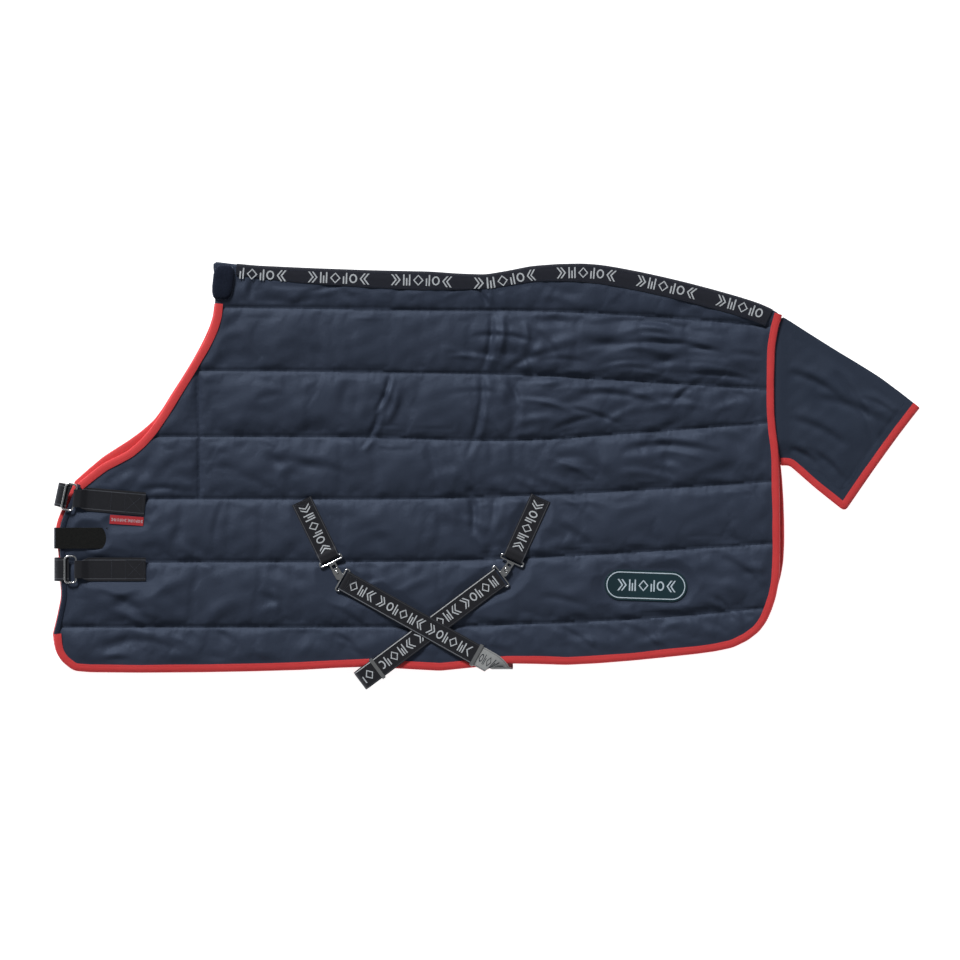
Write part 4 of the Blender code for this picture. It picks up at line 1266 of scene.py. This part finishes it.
fold_low, fold_high = box("tab_fold")
edge = over_edge(Vector((fold_low.x + WEB / 2, tab_y, 0)), Vector((-1, 0, 0)), tab_z, FAR_RUN_Z)
points = [Vector((fold_high.x, tab_y, tab_z)), *edge, edge[-1] + Vector((0.055, 0, 0))]
tab_fold = wrapping_strap("tab_fold", points, [Vector((0, -1, 0))] * len(points), TAB_WIDTH,
                          ["tab_fold", "tab_far_run"])
tab_fold.data.materials[0] = hook_look

patch_low, patch_high = box("tab_loop_patch")
patch_z = (patch_low.z + patch_high.z) / 2
patch = Strap([Vector((patch_high.x, tab_y, patch_z)), Vector((patch_low.x, tab_y, patch_z))],
              [Vector((0, -1, 0))] * 2, patch_high.y - patch_low.y)
build = Build()
patch.web(build)
loop_patch = outwards(crisp(build.piece("tab_loop_patch", [hook_look]), 50))
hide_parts("tab_loop_patch")
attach(loop_patch, "near_side")

# ---- Spine tapes
spine = softened(resample(topline, 0.008), 3)
tape_low, tape_high = box("near_spine_tape")
first = next(i for i, p in enumerate(spine) if p.x < tape_high.x)
last = max(i for i, p in enumerate(spine) if p.x > tape_low.x)
spine = spine[first : last + 1]
TAPE_WIDTHS = [(-0.66, 0.030), (-0.56, 0.027), (-0.45, 0.036), (-0.15, 0.045), (0.0, 0.034),
               (0.08, 0.036), (0.25, 0.045), (0.75, 0.044)]


def tape_width(x):
    return float(np.interp(x, [a for a, _ in TAPE_WIDTHS], [b for _, b in TAPE_WIDTHS]))


class EdgeTape:
    """Tape that lies along the spine and rolls over its edge."""

    def __init__(self, path, high, low, up):
        self.path = path
        self.marks = lengths(path)
        self.sides = [Vector((-t.y, t.x)) for t in tangents(path)]
        self.high = high
        self.low = low
        self.up = up

    def at(self, u, v, lift=0.0):
        share = min(max(u / self.marks[-1], 0), 1) * (len(self.path) - 1)
        i = min(int(share), len(self.path) - 2)
        t = share - i
        point = self.path[i].lerp(self.path[i + 1], t)
        side = self.sides[i].lerp(self.sides[i + 1], t)
        spot = point + side * (v + 0.022 - EDGE_ROOM)
        return Vector((spot.x, spot.y, self.high + self.up * (0.0003 + lift)))

    def rings(self):
        found, rows = [], []
        for i, point in enumerate(self.path):
            wide = tape_width(point.x)
            high, low, up = self.high, self.low, self.up
            profile = [(wide, high), (wide * 0.55, high + up * 0.0003), (0.006, high),
                       (0.0016, high - up * 0.0018), (0.0, high - up * 0.006), (0.0002, low),
                       (0.0014, low), (0.0014, high - up * 0.0065),
                       (0.0034, high - up * 0.0024), (0.0070, high - up * 0.0012),
                       (wide, high - up * 0.0011)]
            ring, row = [], []
            for reach, z in profile:
                spot = point + self.sides[i] * (reach - EDGE_ROOM)
                ring.append(Vector((spot.x, spot.y, z)))
                row.append((self.marks[i], reach - 0.0225))
            found.append(ring)
            rows.append(row)
        return found, rows


WORD_PITCH = 0.1965
for side, high, low, up in (("near", NEAR_TOP + 0.0013, 0.0156, 1), ("far", 0.0003, 0.0149, -1)):
    edge_tape = EdgeTape(spine, high, low, up)
    build = Build()
    rings, rows = edge_tape.rings()
    build.rings(rings, uvs=rows)
    if side == "near":
        long = edge_tape.marks[-1]
        first_word = edge_tape.marks[min(range(len(spine)), key=lambda i: abs(spine[i].x - 0.620))]
        starts = [first_word + WORD_PITCH * k for k in range(7)]
        print_motif(build, edge_tape.at, starts, 0.0260, 1, flip=-1, long=1.15, begin=0.003,
                    end=long - 0.004)
        for inset_by in (0.0026, None):
            line = []
            for i, point in enumerate(spine):
                reach = inset_by + 0.006 if inset_by else tape_width(point.x) - 0.003
                spot = point + edge_tape.sides[i] * (reach - EDGE_ROOM)
                line.append(Vector((spot.x, spot.y, high + 0.0003)))
            stitches(build, line, 0.0045, 0.0031, 0.0006, look=2)
    made = outwards(crisp(build.piece(f"{side}_spine_tape", [tape, print_look, thread]), 50))
    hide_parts(f"{side}_spine_tape")
    bound[side, "tape"] = made

# ---- Wither fleece
def fleece_pad(side, low, high):
    """A soft pad rolled over the top of the neck edge, with a tufted face."""
    a, b = box(f"{side}_wither_fleece")
    reach_x, reach_y = (b.x - a.x) / 2, (b.y - a.y) / 2
    middle = (a + b) / 2
    build = Build()
    rings = []
    around, upward = 72, 26
    for k in range(1, upward):
        turn = math.pi * (k / upward - 0.5)
        ring = []
        for m in range(around):
            angle = 2 * math.pi * m / around
            size = math.cos(turn) ** 0.42
            c, s = math.cos(angle), math.sin(angle)
            x = math.copysign(abs(c) ** 0.62, c) * size
            y = math.copysign(abs(s) ** 0.62, s) * size
            z = math.copysign(abs(math.sin(turn)) ** 0.8, math.sin(turn))
            tuft = 0.5 + 0.5 * math.sin(m * 1.9 + k * 1.3) * math.cos(m * 0.7 - k * 2.1)
            tuft += chance.uniform(-0.5, 0.5)
            pull = 1 - 0.030 * tuft
            lean = 0.004 * y * reach_y / 0.045
            ring.append(Vector((middle.x + x * reach_x * pull + lean,
                                middle.y + y * reach_y * pull,
                                (low + high) / 2 + z * (high - low) / 2 * (1 - 0.05 * tuft))))
        rings.append(ring)
    build.rings(rings)
    pad = outwards(build.piece(f"{side}_wither_fleece", [fleece_look]))
    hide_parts(f"{side}_wither_fleece")
    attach(pad, f"{side}_side")
    return pad


fleece_pad("near", 0.0156, box("near_wither_fleece")[1].z + 0.001)
fleece_pad("far", 0.0003, 0.0150)

# ---- Quilting stitches, in the furrows they pull
near_parts = [near_quilt, bound["near", "binding"], bound["near", "tape"]]
build = Build()
places = near_top[:, :2]
for seam in near_seams:
    line = resample([p.to_3d() for p in seam], 0.0062)
    spots = np.array([p[:2] for p in line])
    heights = []
    for spot in spots:
        gap = (places[:, 0] - spot[0]) ** 2 + (places[:, 1] - spot[1]) ** 2
        nearest = np.argpartition(gap, 3)[:3]
        heights.append(near_top[nearest, 2].mean())
    path = [Vector((p.x, p.y, z + 0.0002)) for p, z in zip(line, heights)]
    stitches(build, path, 0.0062, 0.0044, 0.0009)
quilting = outwards(build.piece("quilting_stitches", [thread]))
near_parts.append(quilting)

# ---- Tail flap: one cloth folded along its top edge, bound round its free edges
flap_outline = outline_of("near_tail_flap")
flap_low, flap_high = box("near_tail_flap")
FLAP_TOP_Z = flap_high.z
FLAP_LOW_Z = box("far_tail_flap")[0].z
ROOT_TOP_Z = 0.0205
ROOT_LOW_Z = 0.0100
flap_root_x = flap_low.x
flap_step = 0.0085
flap_points, flap_faces = cut_sheet(
    softened(resample(flap_outline + flap_outline[:1], 0.006), 1)[:-1], [], flap_step)
flap_faces = [f for f in flap_faces if len(f) == 3]
flap_points, flap_faces = finer(flap_points, flap_faces)
flap_rim = flap_outline + flap_outline[:1]
edge = distance_to(flap_points, flap_rim)
spread = flap_points[:, 0] - flap_root_x
free_foot = part_of(flap_outline, (flap_low.x + 0.018, 0.020), (0.854, -0.091))
above_foot = step_up(distance_to(flap_points, free_foot), 0.012, 0.060)
near_root = np.exp(-((np.maximum(0, spread - 0.012) / 0.055) ** 1.3)) * above_foot
FLAP_FOLD_DEPTH = 2.0
FLAP_FOLDS = [
    ((0.730, 0.330), (0.990, 0.150), 0.012, 0.0020), ((0.780, 0.180), (0.960, 0.110), 0.016, 0.0026),
    ((0.715, 0.240), (0.850, 0.170), 0.014, 0.0028), ((0.720, 0.130), (0.860, 0.060), 0.015, 0.0024),
    ((0.830, 0.240), (0.930, 0.060), 0.014, 0.0022), ((0.760, 0.060), (0.860, -0.030), 0.012, 0.0020),
    ((0.890, 0.180), (0.980, 0.130), 0.010, 0.0018), ((0.710, 0.060), (0.790, 0.020), 0.012, 0.0022),
]
marks = [(np.array(a), np.array(b), w, h) for a, b, w, h in FLAP_FOLDS]
folds = wrinkle_height(flap_points, marks) * FLAP_FOLD_DEPTH
folds += ripple(flap_points, 0.15, 21) * 0.0018 + ripple(flap_points, 0.05, 22) * 0.0005
free = step_up(edge, 0.018, 0.04)
hem_line = [(0.729, 0.012), (0.790, 0.004), (0.848, -0.038), (0.905, 0.044), (0.995, 0.168)]
hem_gap = distance_to(flap_points, curve_through(hem_line[2:], 0.01))
belly = 0.0055 * step_up(edge, 0.02, 0.09)
upper_z = FLAP_TOP_Z + (ROOT_TOP_Z - FLAP_TOP_Z) * near_root + (folds + belly) * free
upper_z -= 0.0010 * np.exp(-((hem_gap / 0.004) ** 2)) * free
lower_z = FLAP_LOW_Z + (ROOT_LOW_Z - FLAP_LOW_Z) * near_root
upper_z = np.maximum(upper_z, lower_z + 0.0035)
top_fold = part_of(flap_outline, (flap_high.x, 0.157), TAIL_HEAD)
FLAP_CLOTH = 0.0016
tucked = flap_points.copy()
tucked[:, 0] -= 0.010 * np.exp(-np.maximum(0, spread) / 0.010)


def flap_piece():
    """Both layers as one closed cloth, hollow inside and joined along the top fold."""
    count = len(flap_points)
    joins = distance_to(flap_points, top_fold) < 0.0025
    skins = []
    for z in (upper_z, upper_z - FLAP_CLOTH, lower_z + FLAP_CLOTH, lower_z):
        skins.append(np.column_stack([tucked, z]))
    faces = []
    face_looks = []
    rim = rim_of(flap_faces)
    for number, turned in ((0, False), (1, True), (2, False), (3, True)):
        for face in flap_faces:
            run = face[::-1] if turned else face
            faces.append([i + number * count for i in run])
            face_looks.append(0 if number in (0, 3) else 1)
    for a, b in rim:
        if joins[a] and joins[b]:
            faces.append([a, a + 3 * count, b + 3 * count, b])
            faces.append([a + count, b + count, b + 2 * count, a + 2 * count])
            face_looks += [0, 1]
            continue
        faces.append([a, a + count, b + count, b])
        faces.append([a + 2 * count, a + 3 * count, b + 3 * count, b + 2 * count])
        face_looks += [0, 0]
    return outwards(mesh_piece("tail_flap", np.concatenate(skins), faces, [flap_cloth, lining],
                               face_looks))


tail_flap = flap_piece()
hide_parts("near_tail_flap", "far_tail_flap")
flap_edge = part_of(flap_outline, (flap_low.x + 0.018, 0.020), (flap_high.x, 0.157))
flap_bound = []
for side in ("near", "far"):
    low, high = box(f"{side}_flap_binding")
    made = rolled_tape(f"{side}_flap_binding", flap_edge, low.z, high.z - 0.0006,
                       FLAP_BINDING_WIDTH, binding, red_thread, lumps=0.0005, seed=31)
    if side == "far":
        made.location.x += 0.0025
        made.location.y -= 0.0015
    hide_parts(f"{side}_flap_binding")
    flap_bound.append(made)
build = Build()
line = curve_through(hem_line, 0.006)
path = []
for p in line:
    gap = (flap_points[:, 0] - p.x) ** 2 + (flap_points[:, 1] - p.y) ** 2
    path.append(Vector((p.x, p.y, upper_z[int(gap.argmin())] + 0.0003)))
stitches(build, path, 0.0050, 0.0036, 0.0008)
flap_bound.append(outwards(build.piece("flap_stitches", [thread])))

FLAP_BEND = (Vector((0.698, 0, 0)), Vector((0.760, 0, 0)))
for part in [tail_flap, *flap_bound]:
    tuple(FLAP_BEND[0])
    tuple(FLAP_BEND[1])
    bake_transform(part)

# ---- Badge and label
def stadium(middle, tilt, long, tall, steps=20):
    along = Vector((math.cos(math.radians(tilt)), math.sin(math.radians(tilt))))
    up = Vector((-along.y, along.x))
    found = []
    for end in (1, -1):
        for k in range(steps + 1):
            angle = math.pi * (k / steps - 0.5)
            x = end * ((long - tall) / 2 + math.cos(angle) * tall / 2)
            found.append(middle.to_2d() + along * x + up * end * math.sin(angle) * tall / 2)
    return found


def slab(build, outline, low, high, look, soft=0.0005):
    """A flat piece with its top edge eased."""
    rings = []
    centre = sum(outline, Vector((0, 0))) / len(outline)
    for z, inset_by in ((low, 0.0), (high - soft, 0.0), (high, soft)):
        ring = []
        for p in outline:
            spot = p + (centre - p).normalized() * inset_by
            ring.append(Vector((spot.x, spot.y, z)))
        rings.append(ring)
    build.rings(rings, look=look)


def rim_band(build, outer, inner, low, high, look):
    """A raised border between two outlines of equal count."""
    n = len(outer)
    points = []
    for outline, z in ((outer, low), (outer, high), (inner, high), (inner, low)):
        points += [Vector((p.x, p.y, z)) for p in outline]
    faces = []
    for i in range(n):
        j = (i + 1) % n
        for ring in range(4):
            below, above = ring * n, (ring + 1) % 4 * n
            faces.append([below + i, below + j, above + j, above + i])
    build.add(points, faces, look)


badge_low, badge_high = box("badge")
BADGE_TILT = -2.0
lean = math.radians(abs(BADGE_TILT))
badge_long = badge_high.x - badge_low.x
badge_tall = (badge_high.y - badge_low.y) - (badge_long - 0.072) * math.sin(lean)
build = Build()
slab(build, stadium(badge_mid, BADGE_TILT, badge_long, badge_tall), badge_low.z, badge_high.z, 0)
rim_band(build, stadium(badge_mid, BADGE_TILT, badge_long - 0.009, badge_tall - 0.009),
         stadium(badge_mid, BADGE_TILT, badge_long - 0.0135, badge_tall - 0.0135),
         badge_high.z - 0.0005, badge_high.z + 0.0005, 1)


def upon(middle, turn, top):
    """A function from a place along and across a small level piece to a point on its face."""
    c, s = math.cos(turn), math.sin(turn)

    def place(u, v, lift=0.0):
        return Vector((middle.x + u * c - v * s, middle.y + u * s + v * c, top + lift))

    return place


print_motif(build, upon(badge_mid, -lean, badge_high.z), [0.0], 0.0270, 1, thick=0.0005, long=1.05, begin=-1)
badge = outwards(crisp(build.piece("badge", [badge_look, pale_edge])))
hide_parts("badge")
near_parts.append(badge)

HALF_LONG, HALF_TALL = 0.040, 0.0105
LABEL_LIFT = 0.0004
label_low, label_high = box("label_tag")
along = heading(BUCKLE_BAR["upper"], CHEST_ROOT["upper"])
label_turn = math.atan2(along.y, along.x) + math.radians(1.0)
build = Build()
on_label = upon(label_mid, label_turn, label_high.z + LABEL_LIFT)
corners = []
for u, v in ((-HALF_LONG, -HALF_TALL), (HALF_LONG, -HALF_TALL), (HALF_LONG, HALF_TALL),
             (-HALF_LONG, HALF_TALL)):
    corners.append(on_label(u, v).to_2d())
slab(build, [p for a, b in zip(corners, corners[1:] + corners[:1])
             for p in (a, a.lerp(b, 0.33), a.lerp(b, 0.67))], label_low.z, label_high.z + LABEL_LIFT, 0)
print_motif(build, on_label, [-0.019, 0.020], 0.0075, 1, thick=0.0003, begin=-1)
label = outwards(crisp(build.piece("label_tag", [label_look, print_look])))
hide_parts("label_tag")
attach(label, "near_side")

# ---- Metal fittings
def ring_path(centre, along, deep, wide, corner, steps=7):
    """A rounded rectangle, its short sides along a direction, as points in space."""
    side = Vector((-along.y, along.x, 0))
    found = []
    for sx, sy, start in ((1, 1, 0), (-1, 1, 90), (-1, -1, 180), (1, -1, 270)):
        for k in range(steps + 1):
            angle = math.radians(start + 90 * k / steps)
            x = sx * (deep / 2 - corner) + corner * math.cos(angle)
            y = sy * (wide / 2 - corner) + corner * math.sin(angle)
            found.append(centre + along * x + side * y)
    return found


def wire_ring(build, path, thick, squash=1.0, sides=12):
    rings = []
    count = len(path)
    for i, point in enumerate(path):
        tangent = (path[(i + 1) % count] - path[i - 1]).normalized()
        side = tangent.cross(Vector((0, 0, 1))).normalized()
        ring = []
        for k in range(sides):
            angle = 2 * math.pi * k / sides
            ring.append(point + side * math.cos(angle) * thick / 2
                        + Vector((0, 0, math.sin(angle) * thick / 2 * squash)))
        rings.append(ring)
    build.rings(rings, closed=True)


def leaf(build, outer, inner, low, high, soft=0.0005):
    """A plate with one hole, both outlines of equal count, its edges eased."""
    n = len(outer)
    centre = sum(outer, Vector((0, 0, 0))) / n
    middle = sum(inner, Vector((0, 0, 0))) / n
    loops = []
    for outline, core, way, z in (
            (outer, centre, 0, low + soft), (outer, centre, 0, high - soft),
            (outer, centre, soft, high), (inner, middle, -soft, high),
            (inner, middle, 0, high - soft), (inner, middle, 0, low + soft),
            (inner, middle, -soft, low), (outer, centre, soft, low)):
        for p in outline:
            spot = p + (core - p).normalized() * way
            loops.append(Vector((spot.x, spot.y, z)))
    faces = []
    for ring in range(8):
        below, above = ring * n, (ring + 1) % 8 * n
        for i in range(n):
            j = (i + 1) % n
            faces.append([below + i, below + j, above + j, above + i])
    build.add(loops, faces)


def lathe(build, centre, profile, sides=20):
    """A turned shape on an upright axis; profile is (radius, height) from the bottom up."""
    rings = []
    for radius, z in profile:
        rings.append([Vector((centre.x + radius * math.cos(2 * math.pi * k / sides),
                              centre.y + radius * math.sin(2 * math.pi * k / sides), z))
                      for k in range(sides)])
    build.rings(rings)


def metal(build, name, body, *nodes):
    made = outwards(crisp(build.piece(name, [chrome]), 45))
    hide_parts(*nodes)
    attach(made, body)
    return made


BUCKLE_WINDOW = 0.022
BUCKLE_CORNER = 0.008
WEB_ROOM = 0.002  # by which a frame is wider inside than its webbing
BUCKLE_TURN = {"upper": 168, "lower": 180}
for which in ("upper", "lower"):
    tilt = math.radians(BUCKLE_TURN[which])
    along = Vector((math.cos(tilt), math.sin(tilt), 0))
    deep = BUCKLE_WINDOW + BUCKLE_WIRE
    wide = CHEST_WIDTH + WEB_ROOM + BUCKLE_WIRE
    centre = BUCKLE_BAR[which] + along * deep / 2
    build = Build()
    wire_ring(build, ring_path(centre, along, deep, wide, BUCKLE_CORNER), BUCKLE_WIRE, 0.9, 14)
    metal(build, f"{which}_buckle", f"{which}_buckle", f"{which}_buckle")

WINDOW = 0.0055
FRAME_DEEP = WINDOW + CLIP_WIRE
FRAME_WIDE = STRAP_WIDTH + 0.0024 + CLIP_WIRE
FRAME_CORNER = 0.0032
NECK_WIDTH = 0.017
NECK_THICK = 0.0024
NECK_HOLE = 0.0085
NECK_DROP = 0.0025  # from the bar's middle down to the underside of the neck
STUD_RADIUS = 0.0019
HEAD_RADIUS = 0.0042
LEAF_WIDTH = 0.019
LEAF_THICK = 0.0020
LEAF_RISE = 0.0015  # from the bar's middle up to the underside of the leaf
LEAF_PAST = 0.0095  # how far the leaf goes past the stud
SLOT_LONG, SLOT_WIDE = 0.0114, 0.0064
POST_SHARE = 0.56  # where the stud stands between the two frames
for side in ("front", "rear"):
    hook_axis = Vector(joint(f"{side}_hook_tilt")["axis"])
    plate_axis = Vector(joint(f"{side}_plate_tilt")["axis"])
    hook_way = Vector((hook_axis.y, -hook_axis.x, 0))
    plate_way = Vector((plate_axis.y, -plate_axis.x, 0))
    hook_way *= 1 if hook_way.dot(PLATE[side] - HOOK[side]) > 0 else -1
    plate_way *= 1 if plate_way.dot(HOOK[side] - PLATE[side]) > 0 else -1
    hook_high = box(f"{side}_hook")[1]
    hook_front = HOOK[side] + hook_way * FRAME_DEEP
    plate_front = PLATE[side] + plate_way * FRAME_DEEP
    post = hook_front.lerp(plate_front, POST_SHARE)
    post.z = HOOK[side].z
    neck_way = heading(hook_front, post)
    reach = (post - hook_front).length + 0.003
    build = Build()
    wire_ring(build, ring_path(HOOK[side] + hook_way * FRAME_DEEP / 2, hook_way, FRAME_DEEP,
                               FRAME_WIDE, FRAME_CORNER, 4), CLIP_WIRE, 0.95)
    neck_mid = hook_front + neck_way * reach / 2
    low = HOOK[side].z - NECK_DROP
    leaf(build, ring_path(neck_mid, neck_way, reach + 0.002, NECK_WIDTH, 0.003, 4),
         ring_path(neck_mid - neck_way * 0.002, neck_way, reach * 0.34, NECK_HOLE, 0.0012, 4),
         low, low + NECK_THICK)
    lathe(build, post, [(STUD_RADIUS, low), (STUD_RADIUS, hook_high.z - 0.0021),
                        (0.0036, hook_high.z - 0.0019), (HEAD_RADIUS, hook_high.z - 0.0012),
                        (0.0034, hook_high.z - 0.0004), (0.0014, hook_high.z)])
    metal(build, f"{side}_hook", f"{side}_hook", f"{side}_hook")
    leaf_way = heading(plate_front, post)
    leaf_long = (post - plate_front).length + LEAF_PAST
    build = Build()
    wire_ring(build, ring_path(PLATE[side] + plate_way * FRAME_DEEP / 2, plate_way, FRAME_DEEP,
                               FRAME_WIDE, FRAME_CORNER, 4), CLIP_WIRE, 0.95)
    leaf_mid = plate_front + leaf_way * leaf_long / 2
    leaf_z = PLATE[side].z + LEAF_RISE
    leaf(build, ring_path(leaf_mid, leaf_way, leaf_long, LEAF_WIDTH, 0.006, 4),
         ring_path(Vector((post.x, post.y, 0)), leaf_way, SLOT_LONG, SLOT_WIDE, 0.0030, 4),
         leaf_z, leaf_z + LEAF_THICK)
    metal(build, f"{side}_slot_plate", f"{side}_slot_plate", f"{side}_slot_plate")
    slide_way = heading(SLIDE[side], PLATE[side])
    across = Vector((-slide_way.y, slide_way.x, 0))
    build = Build()
    half_wide = STRAP_WIDTH / 2 + 0.0012
    room = WEB / 2 + 0.0004
    bar_thick = 0.0016
    profile = [(-half_wide - 0.0028, 0), (-half_wide - 0.002, room + bar_thick),
               (half_wide + 0.002, room + bar_thick), (half_wide + 0.0028, 0),
               (half_wide + 0.002, -room - bar_thick), (-half_wide - 0.002, -room - bar_thick)]
    hollow = [(-half_wide, 0), (-half_wide, room), (half_wide, room), (half_wide, 0),
              (half_wide, -room), (-half_wide, -room)]
    loops = []
    for outline, ends in ((profile, (-0.0042, 0.0042)), (hollow, (0.0050, -0.0050))):
        for end in ends:
            loops.append([SLIDE[side] + across * v + Vector((0, 0, z)) + slide_way * end
                          for v, z in outline])
    build.rings(loops, closed=True)
    metal(build, f"{side}_adjuster", f"{side}_adjuster", f"{side}_adjuster")

# ---- Soft pieces: the near ones baked where they lie, the rest parented to the frame's sides
TAIL_HOLDS = (Vector((0.70, 0, 0)), Vector((0.165, 0, 0)))
for part in near_parts:
    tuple(TAIL_HOLDS[0])
    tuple(TAIL_HOLDS[1])
    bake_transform(part)
for key in ("front", "neck"):
    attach(bound["near", key], "near_side")
for key in ("binding", "front", "neck", "tape"):
    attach(bound["far", key], "far_side")
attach(far_quilt, "far_side")

# ---- Floor and light
FLOOR_HALF = 14.0
floor_look = Look("floor_paper", (0.80, 0.80, 0.80), 0.9, specular=0.1)
floor_look.shader.inputs["Emission Color"].default_value = (1, 1, 1, 1)
floor_look.shader.inputs["Emission Strength"].default_value = 0.88
floor = mesh_piece("floor", [(-FLOOR_HALF, -FLOOR_HALF, 0), (FLOOR_HALF, -FLOOR_HALF, 0),
                             (FLOOR_HALF, FLOOR_HALF, 0), (-FLOOR_HALF, FLOOR_HALF, 0)],
                   [[0, 1, 2, 3]], [floor_look.material], smooth=False)
floor.name = "floor"

world = bpy.data.worlds.new("studio")
scene.world = world
world.use_nodes = True
sky = next(n for n in world.node_tree.nodes if n.type == "BACKGROUND")
sky.inputs[0].default_value = (0.96, 0.98, 1.0, 1)
sky.inputs[1].default_value = 0.14


def soft_box(name, place, aim, size, power):
    lamp = bpy.data.lights.new(name, "AREA")
    lamp.shape = "RECTANGLE"
    lamp.size, lamp.size_y = size
    lamp.energy = power
    obj = bpy.data.objects.new(name, lamp)
    scene.collection.objects.link(obj)
    obj.location = place
    obj.rotation_euler = (Vector(aim) - Vector(place)).to_track_quat("-Z", "Y").to_euler()
    return obj


soft_box("fill_light", (1.8, -3.0, 3.6), (0, 0, 0), (3.0, 3.0), 16)
key = bpy.data.lights.new("key_light", "SUN")
key.energy = 3.3
key.angle = math.radians(14)
key_light = bpy.data.objects.new("key_light", key)
scene.collection.objects.link(key_light)
key_light.rotation_euler = Vector((0.50, -1.0, -0.64)).to_track_quat("-Z", "Y").to_euler()
